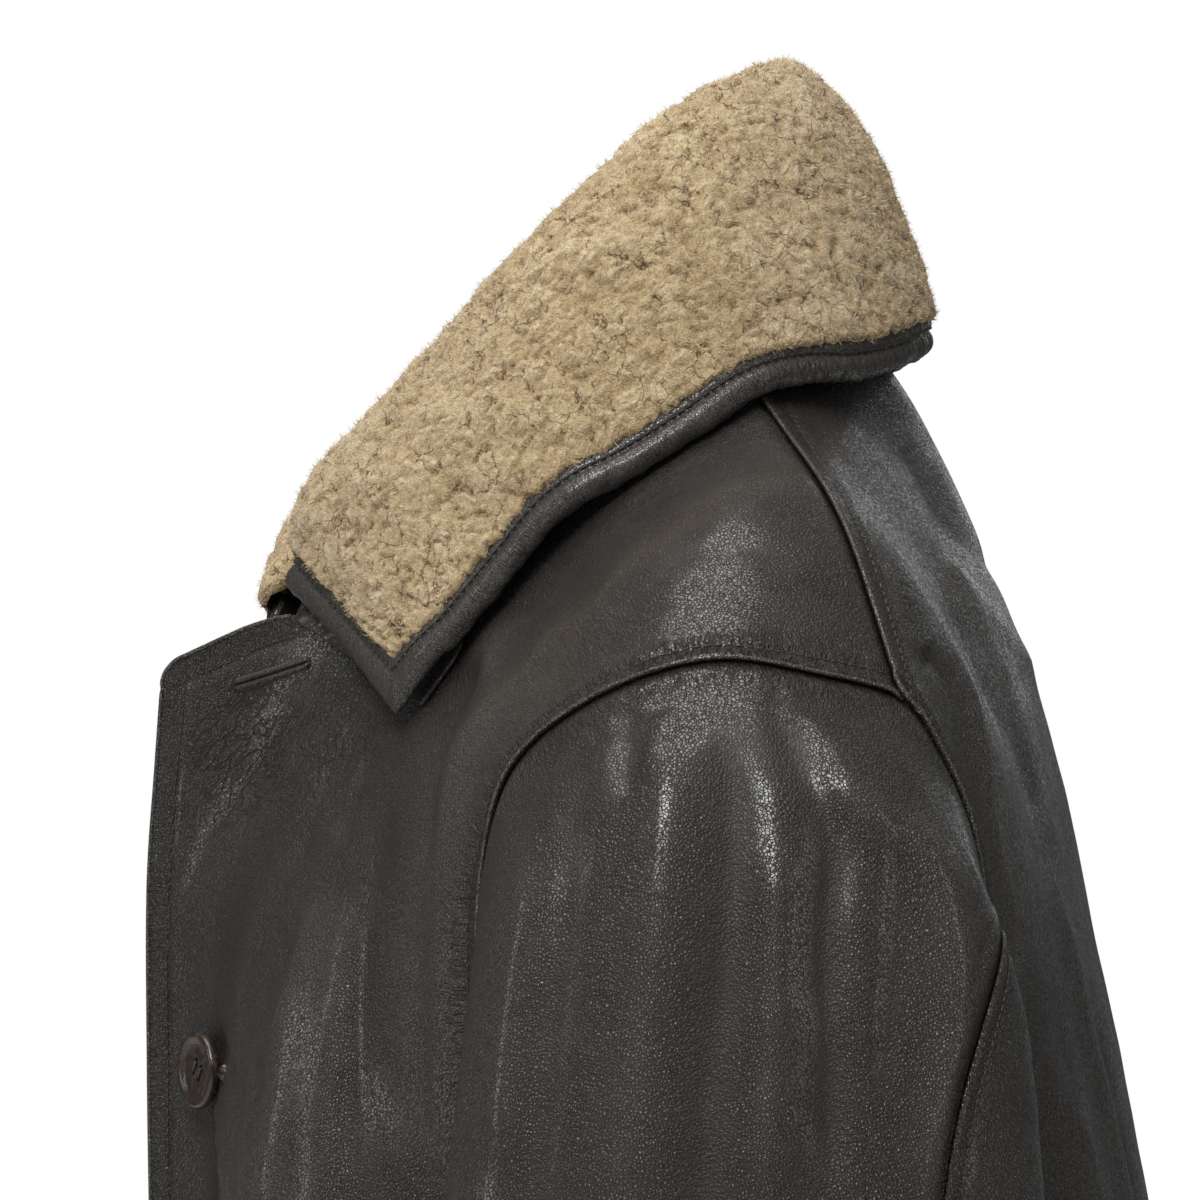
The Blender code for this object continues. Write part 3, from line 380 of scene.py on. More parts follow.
def off_line(places, line):
    """Signed distance from a line, positive on the right of one drawn downwards, and the share along it."""
    step = np.diff(line, axis=0)
    length = np.linalg.norm(step, axis=1)
    start = np.concatenate([[0.0], np.cumsum(length)])
    reach = places[:, None] - line[None, :-1]
    share = np.clip((reach * step).sum(-1) / length**2, 0.0, 1.0)
    off = reach - share[..., None] * step
    distance = np.linalg.norm(off, axis=-1)
    near = (np.arange(len(places)), distance.argmin(axis=1))
    side = np.sign(step[near[1], 1] * off[near][:, 0] - step[near[1], 0] * off[near][:, 1])
    return distance[near] * side, (start[near[1]] + share[near] * length[near[1]]) / start[-1]


def eased(value):
    value = np.clip(value, 0.0, 1.0)
    return value * value * (3.0 - 2.0 * value)


def creased(places, table, unit):
    """Sum of the creases of a table at the places, in millimetres. unit is millimetres a drawing unit."""
    height = np.zeros(len(places))
    for rise, left, right, line in table:
        line = rounded_line(line)
        lowest, highest = line.min(axis=0) - 90.0, line.max(axis=0) + 90.0
        near = ((places > lowest) & (places < highest)).all(axis=1)
        distance, share = off_line(places[near], line)
        distance *= unit
        width = np.where(distance < 0, left, right)
        ends = eased(share / 0.16) * eased((1.0 - share) / 0.22)
        height[near] += rise * ends * np.exp(-(np.abs(distance / width) ** 1.6))
    return height

# %% The creases of the body, the sleeve and the back
SIDE_UNIT = 0.345
BODY_CREASES = (
    # rise mm, width on the left and right mm, line on the side view
    (1.6, 7, 7, ((345, 680), (262, 800), (215, 880), (210, 1015), (206, 1130))),
    (-1.1, 3, 4, ((330, 700), (292, 745), (258, 800), (235, 842))),
    (-1.2, 3, 4, ((352, 722), (328, 770), (305, 830), (288, 880))),
    (-0.9, 3, 3, ((308, 706), (272, 742), (236, 790))),
    (-0.8, 3, 3, ((376, 740), (352, 800), (338, 850))),
    (2.2, 5, 8, ((322, 880), (308, 941), (293, 982), (283, 1026), (280, 1073), (273, 1124), (258, 1260))),
    (-1.4, 5, 4, ((300, 905), (283, 960), (268, 1010), (262, 1070), (252, 1180))),
    (3.0, 10, 8, ((474, 676), (452, 750), (440, 814), (421, 944), (416, 1022), (414, 1084), (418, 1240))),
    (4.6, 6, 8, ((505, 596), (498, 650), (485, 715), (470, 760), (455, 900), (450, 1050), (452, 1260))),
    (-2.8, 5, 4, ((486, 650), (466, 694), (452, 743), (442, 804), (436, 880))),
    (-1.6, 6, 6, ((395, 780), (376, 870), (362, 960), (352, 1080), (350, 1240))),
    (1.5, 7, 6, ((352, 860), (342, 950), (330, 1040), (322, 1160), (318, 1300))),
    (-2.0, 5, 6, ((222, 1112), (216, 1150), (209, 1210), (204, 1320))),
    (1.2, 5, 6, ((246, 1096), (246, 1160), (240, 1260))),
    (2.5, 3, 9, ((917, 560), (952, 625), (967, 679), (979, 747), (992, 847), (1009, 931), (1014, 1000))),
    (2.0, 5, 5, ((938, 552), (975, 602), (1002, 637), (1022, 690))),
    (-1.2, 3, 3, ((925, 650), (938, 664), (948, 684))),
    (1.6, 7, 8, ((1010, 640), (1032, 720), (1048, 800), (1060, 900), (1078, 1040))),
    (-1.5, 6, 6, ((1012, 700), (1028, 800), (1042, 900), (1058, 1000), (1080, 1150))),
    (1.3, 4, 5, ((930, 455), (956, 508), (972, 560))),
    (-0.8, 3, 3, ((900, 440), (930, 500), (944, 540))),
    (0.9, 8, 8, ((690, 497), (745, 482), (800, 484), (850, 502))),
    (-0.7, 7, 7, ((650, 560), (700, 548), (760, 545), (810, 560))),
    (-1.0, 5, 6, ((590, 560), (566, 610), (548, 660), (540, 700))),
    (1.0, 6, 6, ((640, 520), (612, 580), (596, 640))),
    # under the sleeve
    (-2.4, 9, 9, ((640, 960), (620, 1100), (610, 1300), (604, 1500))),
    (2.2, 10, 10, ((760, 980), (752, 1120), (742, 1300), (735, 1480))),
    (-2.0, 9, 9, ((860, 1010), (870, 1160), (876, 1320), (880, 1520))),
    (1.8, 9, 9, ((520, 1100), (508, 1260), (500, 1420), (498, 1600))),
)
SLEEVE_CREASES = (
    (-3.2, 9, 10, ((706, 680), (726, 730), (733, 800), (730, 900), (715, 1050), (700, 1230), (690, 1400))),
    (-3.0, 9, 8, ((748, 674), (799, 753), (830, 830), (826, 944), (830, 1059), (832, 1240))),
    (3.8, 9, 7, ((806, 716), (860, 799), (929, 853), (956, 944), (944, 1097), (930, 1240))),
    (-1.6, 4, 4, ((626, 702), (628, 740), (626, 800))),
    (2.2, 9, 9, ((660, 700), (664, 820), (652, 960), (630, 1140), (612, 1320))),
    (2.0, 8, 9, ((775, 830), (778, 940), (770, 1080), (764, 1240))),
    (-1.8, 7, 7, ((575, 740), (572, 860), (556, 1000), (540, 1160), (528, 1300))),
    (1.8, 7, 7, ((530, 790), (524, 900), (508, 1040), (496, 1200))),
    (-1.3, 5, 6, ((890, 780), (900, 880), (892, 1000), (880, 1120))),
    (-0.9, 3, 3, ((558, 722), (562, 760))),
    (-0.9, 3, 3, ((592, 706), (594, 750))),
    (-0.9, 3, 3, ((660, 680), (664, 716))),
    (-0.8, 3, 3, ((694, 672), (699, 708))),
    (-0.9, 3, 3, ((772, 668), (782, 704))),
    (-0.8, 3, 3, ((806, 676), (820, 712))),
    (-0.9, 3, 3, ((850, 690), (866, 728))),
    # round the elbow and down to the cuff
    (3.4, 7, 8, ((980, 1560), (900, 1600), (800, 1610), (700, 1590))),
    (-2.4, 6, 6, ((960, 1530), (880, 1560), (780, 1560))),
    (-2.8, 7, 7, ((960, 1640), (860, 1660), (740, 1650), (640, 1610))),
    (2.8, 7, 8, ((940, 1690), (840, 1710), (720, 1695), (600, 1650))),
    (2.4, 7, 7, ((560, 1500), (620, 1560), (700, 1580))),
    (-2.2, 6, 6, ((540, 1560), (600, 1620), (660, 1650))),
    (2.2, 8, 8, ((880, 1780), (780, 1820), (660, 1810))),
    (-2.0, 8, 8, ((860, 1850), (740, 1890), (600, 1870))),
    (2.0, 7, 7, ((520, 1860), (600, 1920), (700, 1935))),
    (1.6, 7, 7, ((820, 2020), (720, 2060), (600, 2050))),
    (-1.6, 6, 6, ((800, 1960), (700, 1990), (560, 1975))),
)
FRONT_CREASES = (
    # seen from the front, in millimetres from the origin, across and up
    (2.6, 7, 8, ((22, -255), (60, -268), (104, -300), (130, -345))),
    (-1.8, 6, 6, ((24, -235), (70, -240), (118, -262))),
    (2.4, 7, 7, ((24, -398), (66, -410), (110, -440), (140, -480))),
    (-1.6, 6, 6, ((26, -380), (72, -384), (120, -402))),
    (2.2, 7, 8, ((24, -532), (60, -548), (104, -580))),
    (-1.6, 6, 6, ((-20, -256), (-66, -268), (-112, -304))),
    (2.4, 8, 8, ((-34, -246), (-80, -252), (-126, -278), (-150, -330))),
    (2.2, 8, 8, ((-34, -392), (-84, -404), (-130, -444))),
    (-1.8, 7, 7, ((-34, -412), (-80, -432), (-112, -476))),
    (2.0, 8, 8, ((-34, -540), (-78, -560), (-116, -610))),
    (2.4, 9, 9, ((92, -560), (98, -660), (104, -780), (106, -900))),
    (-2.2, 9, 9, ((-96, -560), (-100, -680), (-108, -790), (-110, -900))),
    (1.8, 8, 8, ((-150, -180), (-132, -260), (-120, -340))),
)
BACK_CREASES = (
    (2.6, 10, 10, ((-120, -150), (-104, -260), (-92, -380), (-88, -480))),
    (2.4, 10, 10, ((128, -160), (108, -270), (98, -370), (96, -470))),
    (-2.2, 10, 10, ((-78, -190), (-70, -300), (-66, -420))),
    (-2.4, 10, 10, ((92, -200), (80, -310), (72, -430))),
    (2.2, 9, 9, ((-150, -250), (-146, -360), (-142, -480))),
    (2.2, 9, 9, ((154, -240), (148, -350), (146, -470))),
    (-1.8, 7, 8, ((-70, -50), (-20, -62), (40, -58), (84, -46))),
    (1.6, 7, 8, ((-84, -80), (-30, -96), (36, -94), (92, -74))),
    (2.2, 8, 8, ((-90, -500), (-30, -520), (40, -514), (96, -496))),
    (-1.8, 8, 8, ((-80, -536), (-20, -552), (50, -546))),
    (1.6, 8, 8, ((-60, -470), (0, -484), (56, -476))),
    (2.6, 11, 11, ((-60, -600), (-64, -720), (-70, -900))),
    (-2.4, 11, 11, ((-10, -600), (-6, -740), (-4, -900))),
    (2.6, 11, 11, ((52, -590), (60, -730), (66, -900))),
    (-2.4, 11, 11, ((120, -600), (128, -740), (134, -900))),
    (-2.2, 11, 11, ((-126, -610), (-134, -740), (-140, -900))),
)

# %% Heights of the creases on a panel
GATHER_FROM = -0.42
HEM_Z = -0.865
BODY_RELIEF = 1.35
SLEEVE_RELIEF = 1.25


def noise_at(points, size, seed=0.0):
    return np.array([noise.noise(Vector(p) / size + Vector((seed, 0.3, 1.7))) for p in points])


def body_creases(points, normals):
    """Millimetres along the normal for points of the fronts and the back."""
    sideways = eased((np.abs(normals[:, 0]) - 0.05) / 0.30) * BODY_RELIEF
    left = points[:, 0] > 0
    places = side_view(points)
    places[~left] += (6.0, -14.0)
    height = creased(places, BODY_CREASES, SIDE_UNIT) * sideways
    flat = points[:, [0, 2]] * 1000.0
    height += creased(flat, FRONT_CREASES, 1.0) * eased((-normals[:, 1] - 0.35) / 0.4)
    height += creased(flat, BACK_CREASES, 1.0) * eased((normals[:, 1] - 0.35) / 0.4)
    turn = np.arctan2(points[:, 1], points[:, 0])
    lower = np.clip((GATHER_FROM - points[:, 2]) / (GATHER_FROM - HEM_Z), 0.0, 1.0) ** 1.3
    flutes = np.sin(turn * 9.0 + 0.7 + 1.6 * lower) + 0.6 * np.sin(turn * 16.0 + 2.0 - 2.0 * lower)
    height += flutes * lower * 2.6
    return height + 0.75 * noise_at(points, 0.045) + 0.35 * noise_at(points, 0.018, 5.0)


def sleeve_creases(points, side):
    places = side_view(points)
    if side < 0:
        places += (-8.0, 12.0)
    inner = points[:, 0] < 0.262
    height = creased(places, SLEEVE_CREASES, SIDE_UNIT) * np.where(inner, 0.65, 1.0) * SLEEVE_RELIEF
    return height + 0.8 * noise_at(points, 0.040, 9.0 * side) + 0.35 * noise_at(points, 0.016, 3.0)

# %% [markdown]
# ## Seams
# A seam is felt as a step: one panel is turned under and laps over the other, and a row of stitches a
# few millimetres in pulls a narrow groove. A KD tree gives each point its distance from the seam and
# its place along it. The same place along the seam drives the little puckers that cross it.

# %% Distance from a seam
class SeamLine:
    def __init__(self, line, step=0.0008):
        line = np.asarray(line, float)
        length = arc_length(line)
        self.at = np.arange(0.0, length[-1], step)
        self.points = points_at(line, length, self.at)
        self.tree = KDTree(len(self.points))
        for i, point in enumerate(self.points):
            self.tree.insert(point, i)
        self.tree.balance()

    def distances(self, points):
        found = [self.tree.find(point)[1:] for point in points]
        return np.array([f[1] for f in found]) * 1000.0, self.at[[f[0] for f in found]] * 1000.0


# Millimetres from an edge to its row of stitches.
ARMHOLE_STITCH = 7.6
SHOULDER_STITCH = 7.4
SLEEVE_STITCH = 6.0
EDGE_STITCH = 8.8
HEM_STITCH = 12.0
CUFF_STITCH = 11.0


def lapped(distance, stitch):
    """The upper panel at a seam: a turned edge and a stitched groove, in millimetres."""
    edge = 0.95 * eased((4.2 - distance) / 3.4)
    groove = -0.85 * np.exp(-((distance - stitch) / 1.1) ** 2)
    puff = 0.35 * np.exp(-((distance - stitch - 3.0) / 1.8) ** 2)
    return edge + groove + puff


def underneath(distance):
    """The lower panel dips under the upper one's edge."""
    return -1.35 * eased((5.0 - distance) / 5.0) + 0.35 * np.exp(-((distance - 7.0) / 2.6) ** 2)


def hemmed(distance, stitch):
    """A turned free edge with a row of stitches."""
    groove = -0.90 * np.exp(-((distance - stitch) / 1.2) ** 2)
    return groove + 0.30 * np.exp(-((distance - stitch * 0.5) / (stitch * 0.4)) ** 2)


def pressed_open(distance, ridge=2.0, depth=0.35, width=1.2):
    """A plain seam, pressed open: a fine groove between two low ridges."""
    return 0.30 * np.exp(-((distance - ridge) / 1.6) ** 2) - depth * np.exp(-(distance / width) ** 2)

# %% [markdown]
# ## Leather
# The hide is dyed nearly black, and its grain is a carpet of small rounded pebbles about a millimetre
# across. Small creases run across the seams. Both are heights in millimetres, so they are two node
# groups that end in one Bump node of each leather material. The colour also has painted shade: a dark
# brown in the grain's valleys and in the hollows of folds and gaps. Ridges and edges turn paler, partly
# wear and partly a painted sheen.

# %% Node helpers
def new_group(name, inputs, outputs):
    group = bpy.data.node_groups.new(name, "ShaderNodeTree")
    for title, value in inputs:
        kind = "NodeSocketVector" if value is None else "NodeSocketFloat"
        socket = group.interface.new_socket(title, in_out="INPUT", socket_type=kind)
        if value is not None:
            socket.default_value = value
    for title in outputs:
        group.interface.new_socket(title, in_out="OUTPUT", socket_type="NodeSocketFloat")
    return group, group.nodes.new("NodeGroupInput"), group.nodes.new("NodeGroupOutput")


def node(tree, kind, links=(), **settings):
    made = tree.nodes.new(kind)
    for key, value in settings.items():
        setattr(made, key, value)
    for key, value in dict(links).items():
        if isinstance(value, bpy.types.NodeSocket):
            tree.links.new(value, made.inputs[key])
        else:
            made.inputs[key].default_value = value
    return made


def maths(tree, operation, first, second=0.0, third=0.0):
    return node(tree, "ShaderNodeMath", {0: first, 1: second, 2: third}, operation=operation).outputs[0]


def ramp(tree, value, low, high, start=0.0, end=1.0):
    links = {"Value": value, "From Min": low, "From Max": high, "To Min": start, "To Max": end}
    return node(tree, "ShaderNodeMapRange", links, interpolation_type="SMOOTHSTEP").outputs[0]


def cloudy(tree, place, scale, detail, distortion=0.0, output="Fac"):
    links = {"Vector": place, "Scale": scale, "Detail": detail, "Distortion": distortion}
    return node(tree, "ShaderNodeTexNoise", links).outputs[output]


def vector_maths(tree, operation, first, second):
    return node(tree, "ShaderNodeVectorMath", {0: first, 1: second}, operation=operation).outputs[0]


def scaled(tree, vector, scale):
    return node(tree, "ShaderNodeVectorMath", {0: vector, "Scale": scale}, operation="SCALE").outputs[0]


def worley(tree, place, scale, feature):
    return node(tree, "ShaderNodeTexVoronoi", {"Vector": place, "Scale": scale}, feature=feature).outputs

# %% Pebbled grain
def pebbled_grain():
    inputs = (("Place", None), ("Pebble mm", 1.2), ("Height mm", 0.16), ("Variation", 0.6))
    group, given, out = new_group("pebbled grain", inputs, ("Height", "Pebbles", "Patches", "Glint"))
    place = given.outputs["Place"]
    size = maths(group, "DIVIDE", 1000.0, given.outputs["Pebble mm"])
    sway = cloudy(group, place, 420.0, 1.0, output="Color")
    shift = scaled(group, vector_maths(group, "SUBTRACT", sway, (0.5, 0.5, 0.5)), 0.0011)
    moved = vector_maths(group, "ADD", place, shift)
    domes = worley(group, moved, size, "F1")
    pebbles = ramp(group, worley(group, moved, size, "DISTANCE_TO_EDGE")["Distance"], 0.0, 0.22)
    round_top = ramp(group, domes["Distance"], 0.75, 0.05)
    chance = node(group, "ShaderNodeSeparateColor", {0: domes["Color"]}).outputs[0]
    height = maths(group, "MULTIPLY", round_top, maths(group, "MULTIPLY_ADD", chance, 0.34, 0.42))
    height = maths(group, "MULTIPLY_ADD", pebbles, 0.60, height)
    glint = maths(group, "MULTIPLY", pebbles, maths(group, "MULTIPLY_ADD", chance, 0.50, 0.50))
    patches = ramp(group, cloudy(group, place, 62.0, 3.0), 0.36, 0.64)
    least = maths(group, "SUBTRACT", 1.0, given.outputs["Variation"])
    amount = maths(group, "MULTIPLY_ADD", patches, given.outputs["Variation"], least)
    amount = maths(group, "MULTIPLY", amount, given.outputs["Height mm"])
    height = maths(group, "MULTIPLY", height, amount)
    for title, value in (("Height", height), ("Pebbles", pebbles), ("Patches", patches), ("Glint", glint)):
        group.links.new(value, out.inputs[title])
    return group


PEBBLED_GRAIN = pebbled_grain()
print("grain group", [item.name for item in PEBBLED_GRAIN.interface.items_tree])

# %% Drag creases
def drag_creases():
    """Small creases from the wrinkle attribute: millimetres along the seam, away from it, and strength."""
    inputs = (("Wrinkle", None), ("Period mm", 3.1), ("Height mm", 0.4))
    group, given, out = new_group("drag creases", inputs, ("Height", "Mask"))
    parts = node(group, "ShaderNodeSeparateXYZ", {0: given.outputs["Wrinkle"]})
    across = maths(group, "DIVIDE", parts.outputs[0], given.outputs["Period mm"])
    away = maths(group, "DIVIDE", parts.outputs[1], maths(group, "MULTIPLY", given.outputs["Period mm"], 3.4))
    place = node(group, "ShaderNodeCombineXYZ", {0: across, 1: away}).outputs[0]
    rough = cloudy(group, place, 1.0, 2.0, 0.35)
    ridge = maths(group, "ABSOLUTE", maths(group, "MULTIPLY_ADD", rough, 2.0, -1.0))
    ridge = ramp(group, ridge, 0.0, 0.14)
    height = maths(group, "MULTIPLY", maths(group, "MULTIPLY", ridge, given.outputs["Height mm"]),
                   parts.outputs[2])
    group.links.new(height, out.inputs["Height"])
    group.links.new(maths(group, "MULTIPLY", maths(group, "SUBTRACT", 1.0, ridge), parts.outputs[2]),
                    out.inputs["Mask"])
    return group


DRAG_CREASES = drag_creases()

# %% The leather materials
HIDE = (0.0195, 0.0168, 0.0145)
# the dark brown of the painted shade in hollows
HOLLOW_SHADE = (0.0120, 0.0090, 0.0066)
# a paler colour for ridges and edges: partly wear, partly a painted sheen
WORN_AND_SHEEN = (0.105, 0.092, 0.078)
MILLIMETRE = 0.001


def colour_mix(tree, factor, first, second):
    mixed = node(tree, "ShaderNodeMix", {0: factor}, data_type="RGBA")
    for socket, value in ((mixed.inputs[6], first), (mixed.inputs[7], second)):
        if isinstance(value, bpy.types.NodeSocket):
            tree.links.new(value, socket)
        else:
            socket.default_value = (*value, 1.0)
    return mixed.outputs[2]


def new_material(name):
    """A material, its node tree, its shader, and the place on the object as a socket."""
    material = bpy.data.materials.new(name)
    material.use_nodes = True
    tree = material.node_tree
    return material, tree, tree.nodes["Principled BSDF"], node(tree, "ShaderNodeTexCoord").outputs["Object"]


def bumped(tree, shader, height, distance):
    bump = node(tree, "ShaderNodeBump", {"Height": height, "Distance": distance, "Strength": 1.0})
    tree.links.new(bump.outputs[0], shader.inputs["Normal"])


def leather_material(name, pebble=1.05, grain=0.46, creases=0.90, roughness=0.21, variation=0.40):
    material, tree, shader, place = new_material(name)
    surface = node(tree, "ShaderNodeGroup", node_tree=PEBBLED_GRAIN)
    tree.links.new(place, surface.inputs["Place"])
    surface.inputs["Pebble mm"].default_value = pebble
    surface.inputs["Height mm"].default_value = grain
    surface.inputs["Variation"].default_value = variation
    wrinkle = node(tree, "ShaderNodeAttribute", attribute_name="wrinkle").outputs["Vector"]
    drag = node(tree, "ShaderNodeGroup", node_tree=DRAG_CREASES)
    tree.links.new(wrinkle, drag.inputs["Wrinkle"])
    drag.inputs["Height mm"].default_value = creases
    wear_sheen_and_shade = node(tree, "ShaderNodeAttribute", attribute_name="wear_sheen_and_shade").outputs["Fac"]
    relief = ramp(tree, wear_sheen_and_shade, -0.8, 0.1, 0.35, 1.0)
    total = maths(tree, "MULTIPLY_ADD", surface.outputs["Height"], relief, drag.outputs["Height"])
    bumped(tree, shader, total, MILLIMETRE)
    # Painted shade: the grain's valleys and the hollows of folds and gaps are mixed towards a dark brown.
    valley = maths(tree, "SUBTRACT", 1.0, surface.outputs["Pebbles"])
    hollow_shade = maths(tree, "MULTIPLY", wear_sheen_and_shade, -0.9)
    painted_shade = maths(tree, "MAXIMUM", maths(tree, "MULTIPLY", valley, 0.8), hollow_shade)
    colour = colour_mix(tree, painted_shade, HIDE, HOLLOW_SHADE)
    # Ridges and edges are mixed towards a paler colour, partly wear and partly a painted sheen.
    rubbed_and_sheen = maths(tree, "MULTIPLY", maths(tree, "MAXIMUM", wear_sheen_and_shade, 0.0), surface.outputs["Pebbles"])
    colour = colour_mix(tree, maths(tree, "MULTIPLY", rubbed_and_sheen, 0.30), colour, WORN_AND_SHEEN)
    tree.links.new(colour, shader.inputs["Base Color"])
    gloss = maths(tree, "MULTIPLY_ADD", surface.outputs["Patches"], -0.07, roughness)
    dull = maths(tree, "MAXIMUM", maths(tree, "SUBTRACT", 1.0, surface.outputs["Glint"]), hollow_shade)
    dull = maths(tree, "MAXIMUM", dull, ramp(tree, drag.outputs["Mask"], 0.05, 0.9))
    tree.links.new(maths(tree, "MULTIPLY_ADD", dull, 0.42, gloss), shader.inputs["Roughness"])
    tree.links.new(ramp(tree, dull, 0.72, 0.12), shader.inputs["Coat Weight"])
    shader.inputs["Specular IOR Level"].default_value = 0.34
    shader.inputs["Coat Roughness"].default_value = 0.23
    return material


def suede_material():
    material, tree, shader, place = new_material("suede inside")
    cloud = cloudy(tree, place, 45.0, 3.0)
    tree.links.new(colour_mix(tree, cloud, (0.030, 0.024, 0.019), (0.052, 0.042, 0.034)),
                   shader.inputs["Base Color"])
    bumped(tree, shader, cloudy(tree, place, 900.0, 4.0), 0.4 * MILLIMETRE)
    shader.inputs["Roughness"].default_value = 0.92
    return material


BODY_LEATHER = leather_material("body leather", pebble=1.15)
SLEEVE_LEATHER = leather_material("sleeve leather", pebble=1.18, grain=0.50, roughness=0.20, variation=0.30)
SMOOTH_LEATHER = leather_material("border leather", pebble=0.9, grain=0.14, creases=0.60, roughness=0.27)
SUEDE = suede_material()
print("leathers", [m.name for m in bpy.data.materials if "leather" in m.name])

# %% [markdown]
# ## Panels
# Each panel is a thin closed wall: the creased outer face, an inner face one leather thickness behind
# it, and a rim that bulges a little, as a turned edge does. The inner face has a suede material.

# %% Faces and normals of a grid
LEATHER = 0.0016
SEAM_GAP = 0.0004


def grid_quads(rows, columns, keep=None, flip=False):
    number = np.arange(rows * columns).reshape(rows, columns)
    quads = np.stack((number[:-1, :-1], number[:-1, 1:], number[1:, 1:], number[1:, :-1]), axis=-1)
    quads = quads.reshape(-1, 4) if keep is None else quads[keep]
    return quads[:, ::-1] if flip else quads


def vertex_normals(points, quads):
    face = np.cross(points[quads[:, 2]] - points[quads[:, 0]], points[quads[:, 3]] - points[quads[:, 1]])
    normals = np.zeros_like(points)
    for corner in range(4):
        np.add.at(normals, quads[:, corner], face)
    length = np.linalg.norm(normals, axis=1, keepdims=True)
    return normals / np.where(length > 0, length, 1.0)


def grid_normals(grid, keep=None, flip=False):
    quads = grid_quads(*grid.shape[:2], keep, flip)
    return vertex_normals(np.nan_to_num(grid.reshape(-1, 3)), quads).reshape(grid.shape)


def share_normals(one, other):
    one[:] = other[:] = unit(one + other)


def pulled_in(grid, first_row=0.0, last_row=0.0, first_column=0.0, last_column=0.0):
    grid = grid.copy()
    for edge, inside, amount in ((grid[0], grid[1], first_row), (grid[-1], grid[-2], last_row),
                                 (grid[:, 0], grid[:, 1], first_column),
                                 (grid[:, -1], grid[:, -2], last_column)):
        if amount:
            step = inside - edge
            length = np.linalg.norm(step, axis=-1, keepdims=True)
            edge += step / np.where(length > 0, length, 1.0) * amount
    return grid

# %% A thin wall from a grid
RIM_BULGE = 0.00042


def new_object(name, points, faces, materials, attributes=(), face_materials=None):
    mesh = bpy.data.meshes.new(name)
    mesh.from_pydata(np.asarray(points).tolist(), [], [tuple(f) for f in faces])
    for material in materials:
        mesh.materials.append(material)
    if face_materials is not None:
        mesh.polygons.foreach_set("material_index", np.asarray(face_materials, np.int32))
    for title, values in dict(attributes).items():
        values = np.asarray(values, np.float32)
        if values.ndim == 1:
            mesh.attributes.new(title, "FLOAT", "POINT").data.foreach_set("value", values)
        else:
            mesh.attributes.new(title, "FLOAT_VECTOR", "POINT").data.foreach_set("vector", values.ravel())
    mesh.update()
    mesh.shade_smooth()
    obj = bpy.data.objects.new(name, mesh)
    bpy.context.scene.collection.objects.link(obj)
    return obj


def open_edges(quads, count):
    edges = np.concatenate([quads[:, [k, (k + 1) % 4]] for k in range(4)])
    return edges[~np.isin(edges[:, 0] * count + edges[:, 1], edges[:, 1] * count + edges[:, 0])]


def wall(name, grid, normals, thickness, materials, keep=None, flip=False, attributes=(), step=2):
    """A closed wall. Its inner face has one cell for step x step cells of the outer one."""
    rows, columns = grid.shape[:2]
    step = step if (rows - 1) % step == 0 and (columns - 1) % step == 0 else 1
    quads = grid_quads(rows, columns, keep)
    outside = np.nan_to_num(grid.reshape(-1, 3))
    facing = normals.reshape(-1, 3)
    depth = np.broadcast_to(thickness, (rows, columns)).reshape(-1, 1)
    inside = outside - facing * depth
    count = len(outside)
    coarse = np.arange(count).reshape(rows, columns)[::step, ::step]
    lining = coarse.ravel()[grid_quads(*coarse.shape, None if keep is None else keep[::step, ::step])]
    rim = open_edges(quads, count)
    first, last = open_edges(lining, count).T
    push = np.zeros_like(outside)
    turn = np.cross(outside[rim[:, 1]] - outside[rim[:, 0]], facing[rim[:, 0]]) * (-1.0 if flip else 1.0)
    np.add.at(push, rim[:, 0], turn)
    np.add.at(push, rim[:, 1], turn)
    on_rim = np.unique(rim)
    push = push[on_rim] / np.linalg.norm(push[on_rim], axis=1, keepdims=True) * RIM_BULGE
    middle = (outside[on_rim] + inside[on_rim]) / 2.0 + push
    place = np.zeros(count, int)
    place[on_rim] = 2 * count + np.arange(len(on_rim))
    a, b = rim.T
    chain = [place[last + (first - last) // step * k] for k in range(step + 1)]
    groups = (quads, lining[:, ::-1] + count, np.stack([b, a, place[a], place[b]], axis=1),
              np.stack([*chain, first + count, last + count], axis=1))
    kind = np.zeros(sum(len(group) for group in groups), int)
    kind[len(quads) : len(quads) + len(lining)] = min(1, len(materials) - 1)
    points = np.concatenate([outside, inside, middle])
    used = np.unique(np.concatenate([group.ravel() for group in groups]))
    renumber = np.zeros(len(points), int)
    renumber[used] = np.arange(len(used))
    faces = []
    for group in groups:
        faces += renumber[group[:, ::-1] if flip else group].tolist()
    held = {}
    for title, values in dict(attributes).items():
        values = np.asarray(values).reshape(count, -1)
        whole = np.concatenate([values, values, values[on_rim]])[used]
        held[title] = whole[:, 0] if whole.shape[1] == 1 else whole
    return new_object(name, points[used], faces, materials, held, kind)

# %% [markdown]
# ## Fronts, back and sleeves
# The creases and the seam steps are added together for every panel. Two panels that share a seam share
# its normals and the same creases, so that their edges still meet.

# %% Normals shared at the seams
SHOULDER = back_half.shape[1] - 1 + BACK_NECK_CELLS
left_normals = grid_normals(left_front, FRONT_KEEP, flip=True)
right_normals = grid_normals(right_front, FRONT_KEEP, flip=True)
back_normals = grid_normals(whole_back)
share_normals(left_normals[0, OVERLAP_CELLS:], back_normals[0, SHOULDER:])
right_normals[0] = left_normals[0]
back_normals[0, : CHEST_CELLS + 1] = mirrored(back_normals[0, SHOULDER:])[::-1]
side_rows = BODY_CELLS + 1
share_normals(left_normals[-side_rows:, -1], back_normals[-side_rows:, -1])
right_normals[-side_rows:, -1] = left_normals[-side_rows:, -1]
back_normals[-side_rows:, 0] = mirrored(left_normals[-side_rows:, -1])
sleeve_normals = {"top": grid_normals(top_sleeve, flip=True), "under": grid_normals(under_sleeve, flip=True)}
share_normals(sleeve_normals["top"][:, -1], sleeve_normals["under"][:, 0])
share_normals(sleeve_normals["top"][:, 0], sleeve_normals["under"][:, -1])

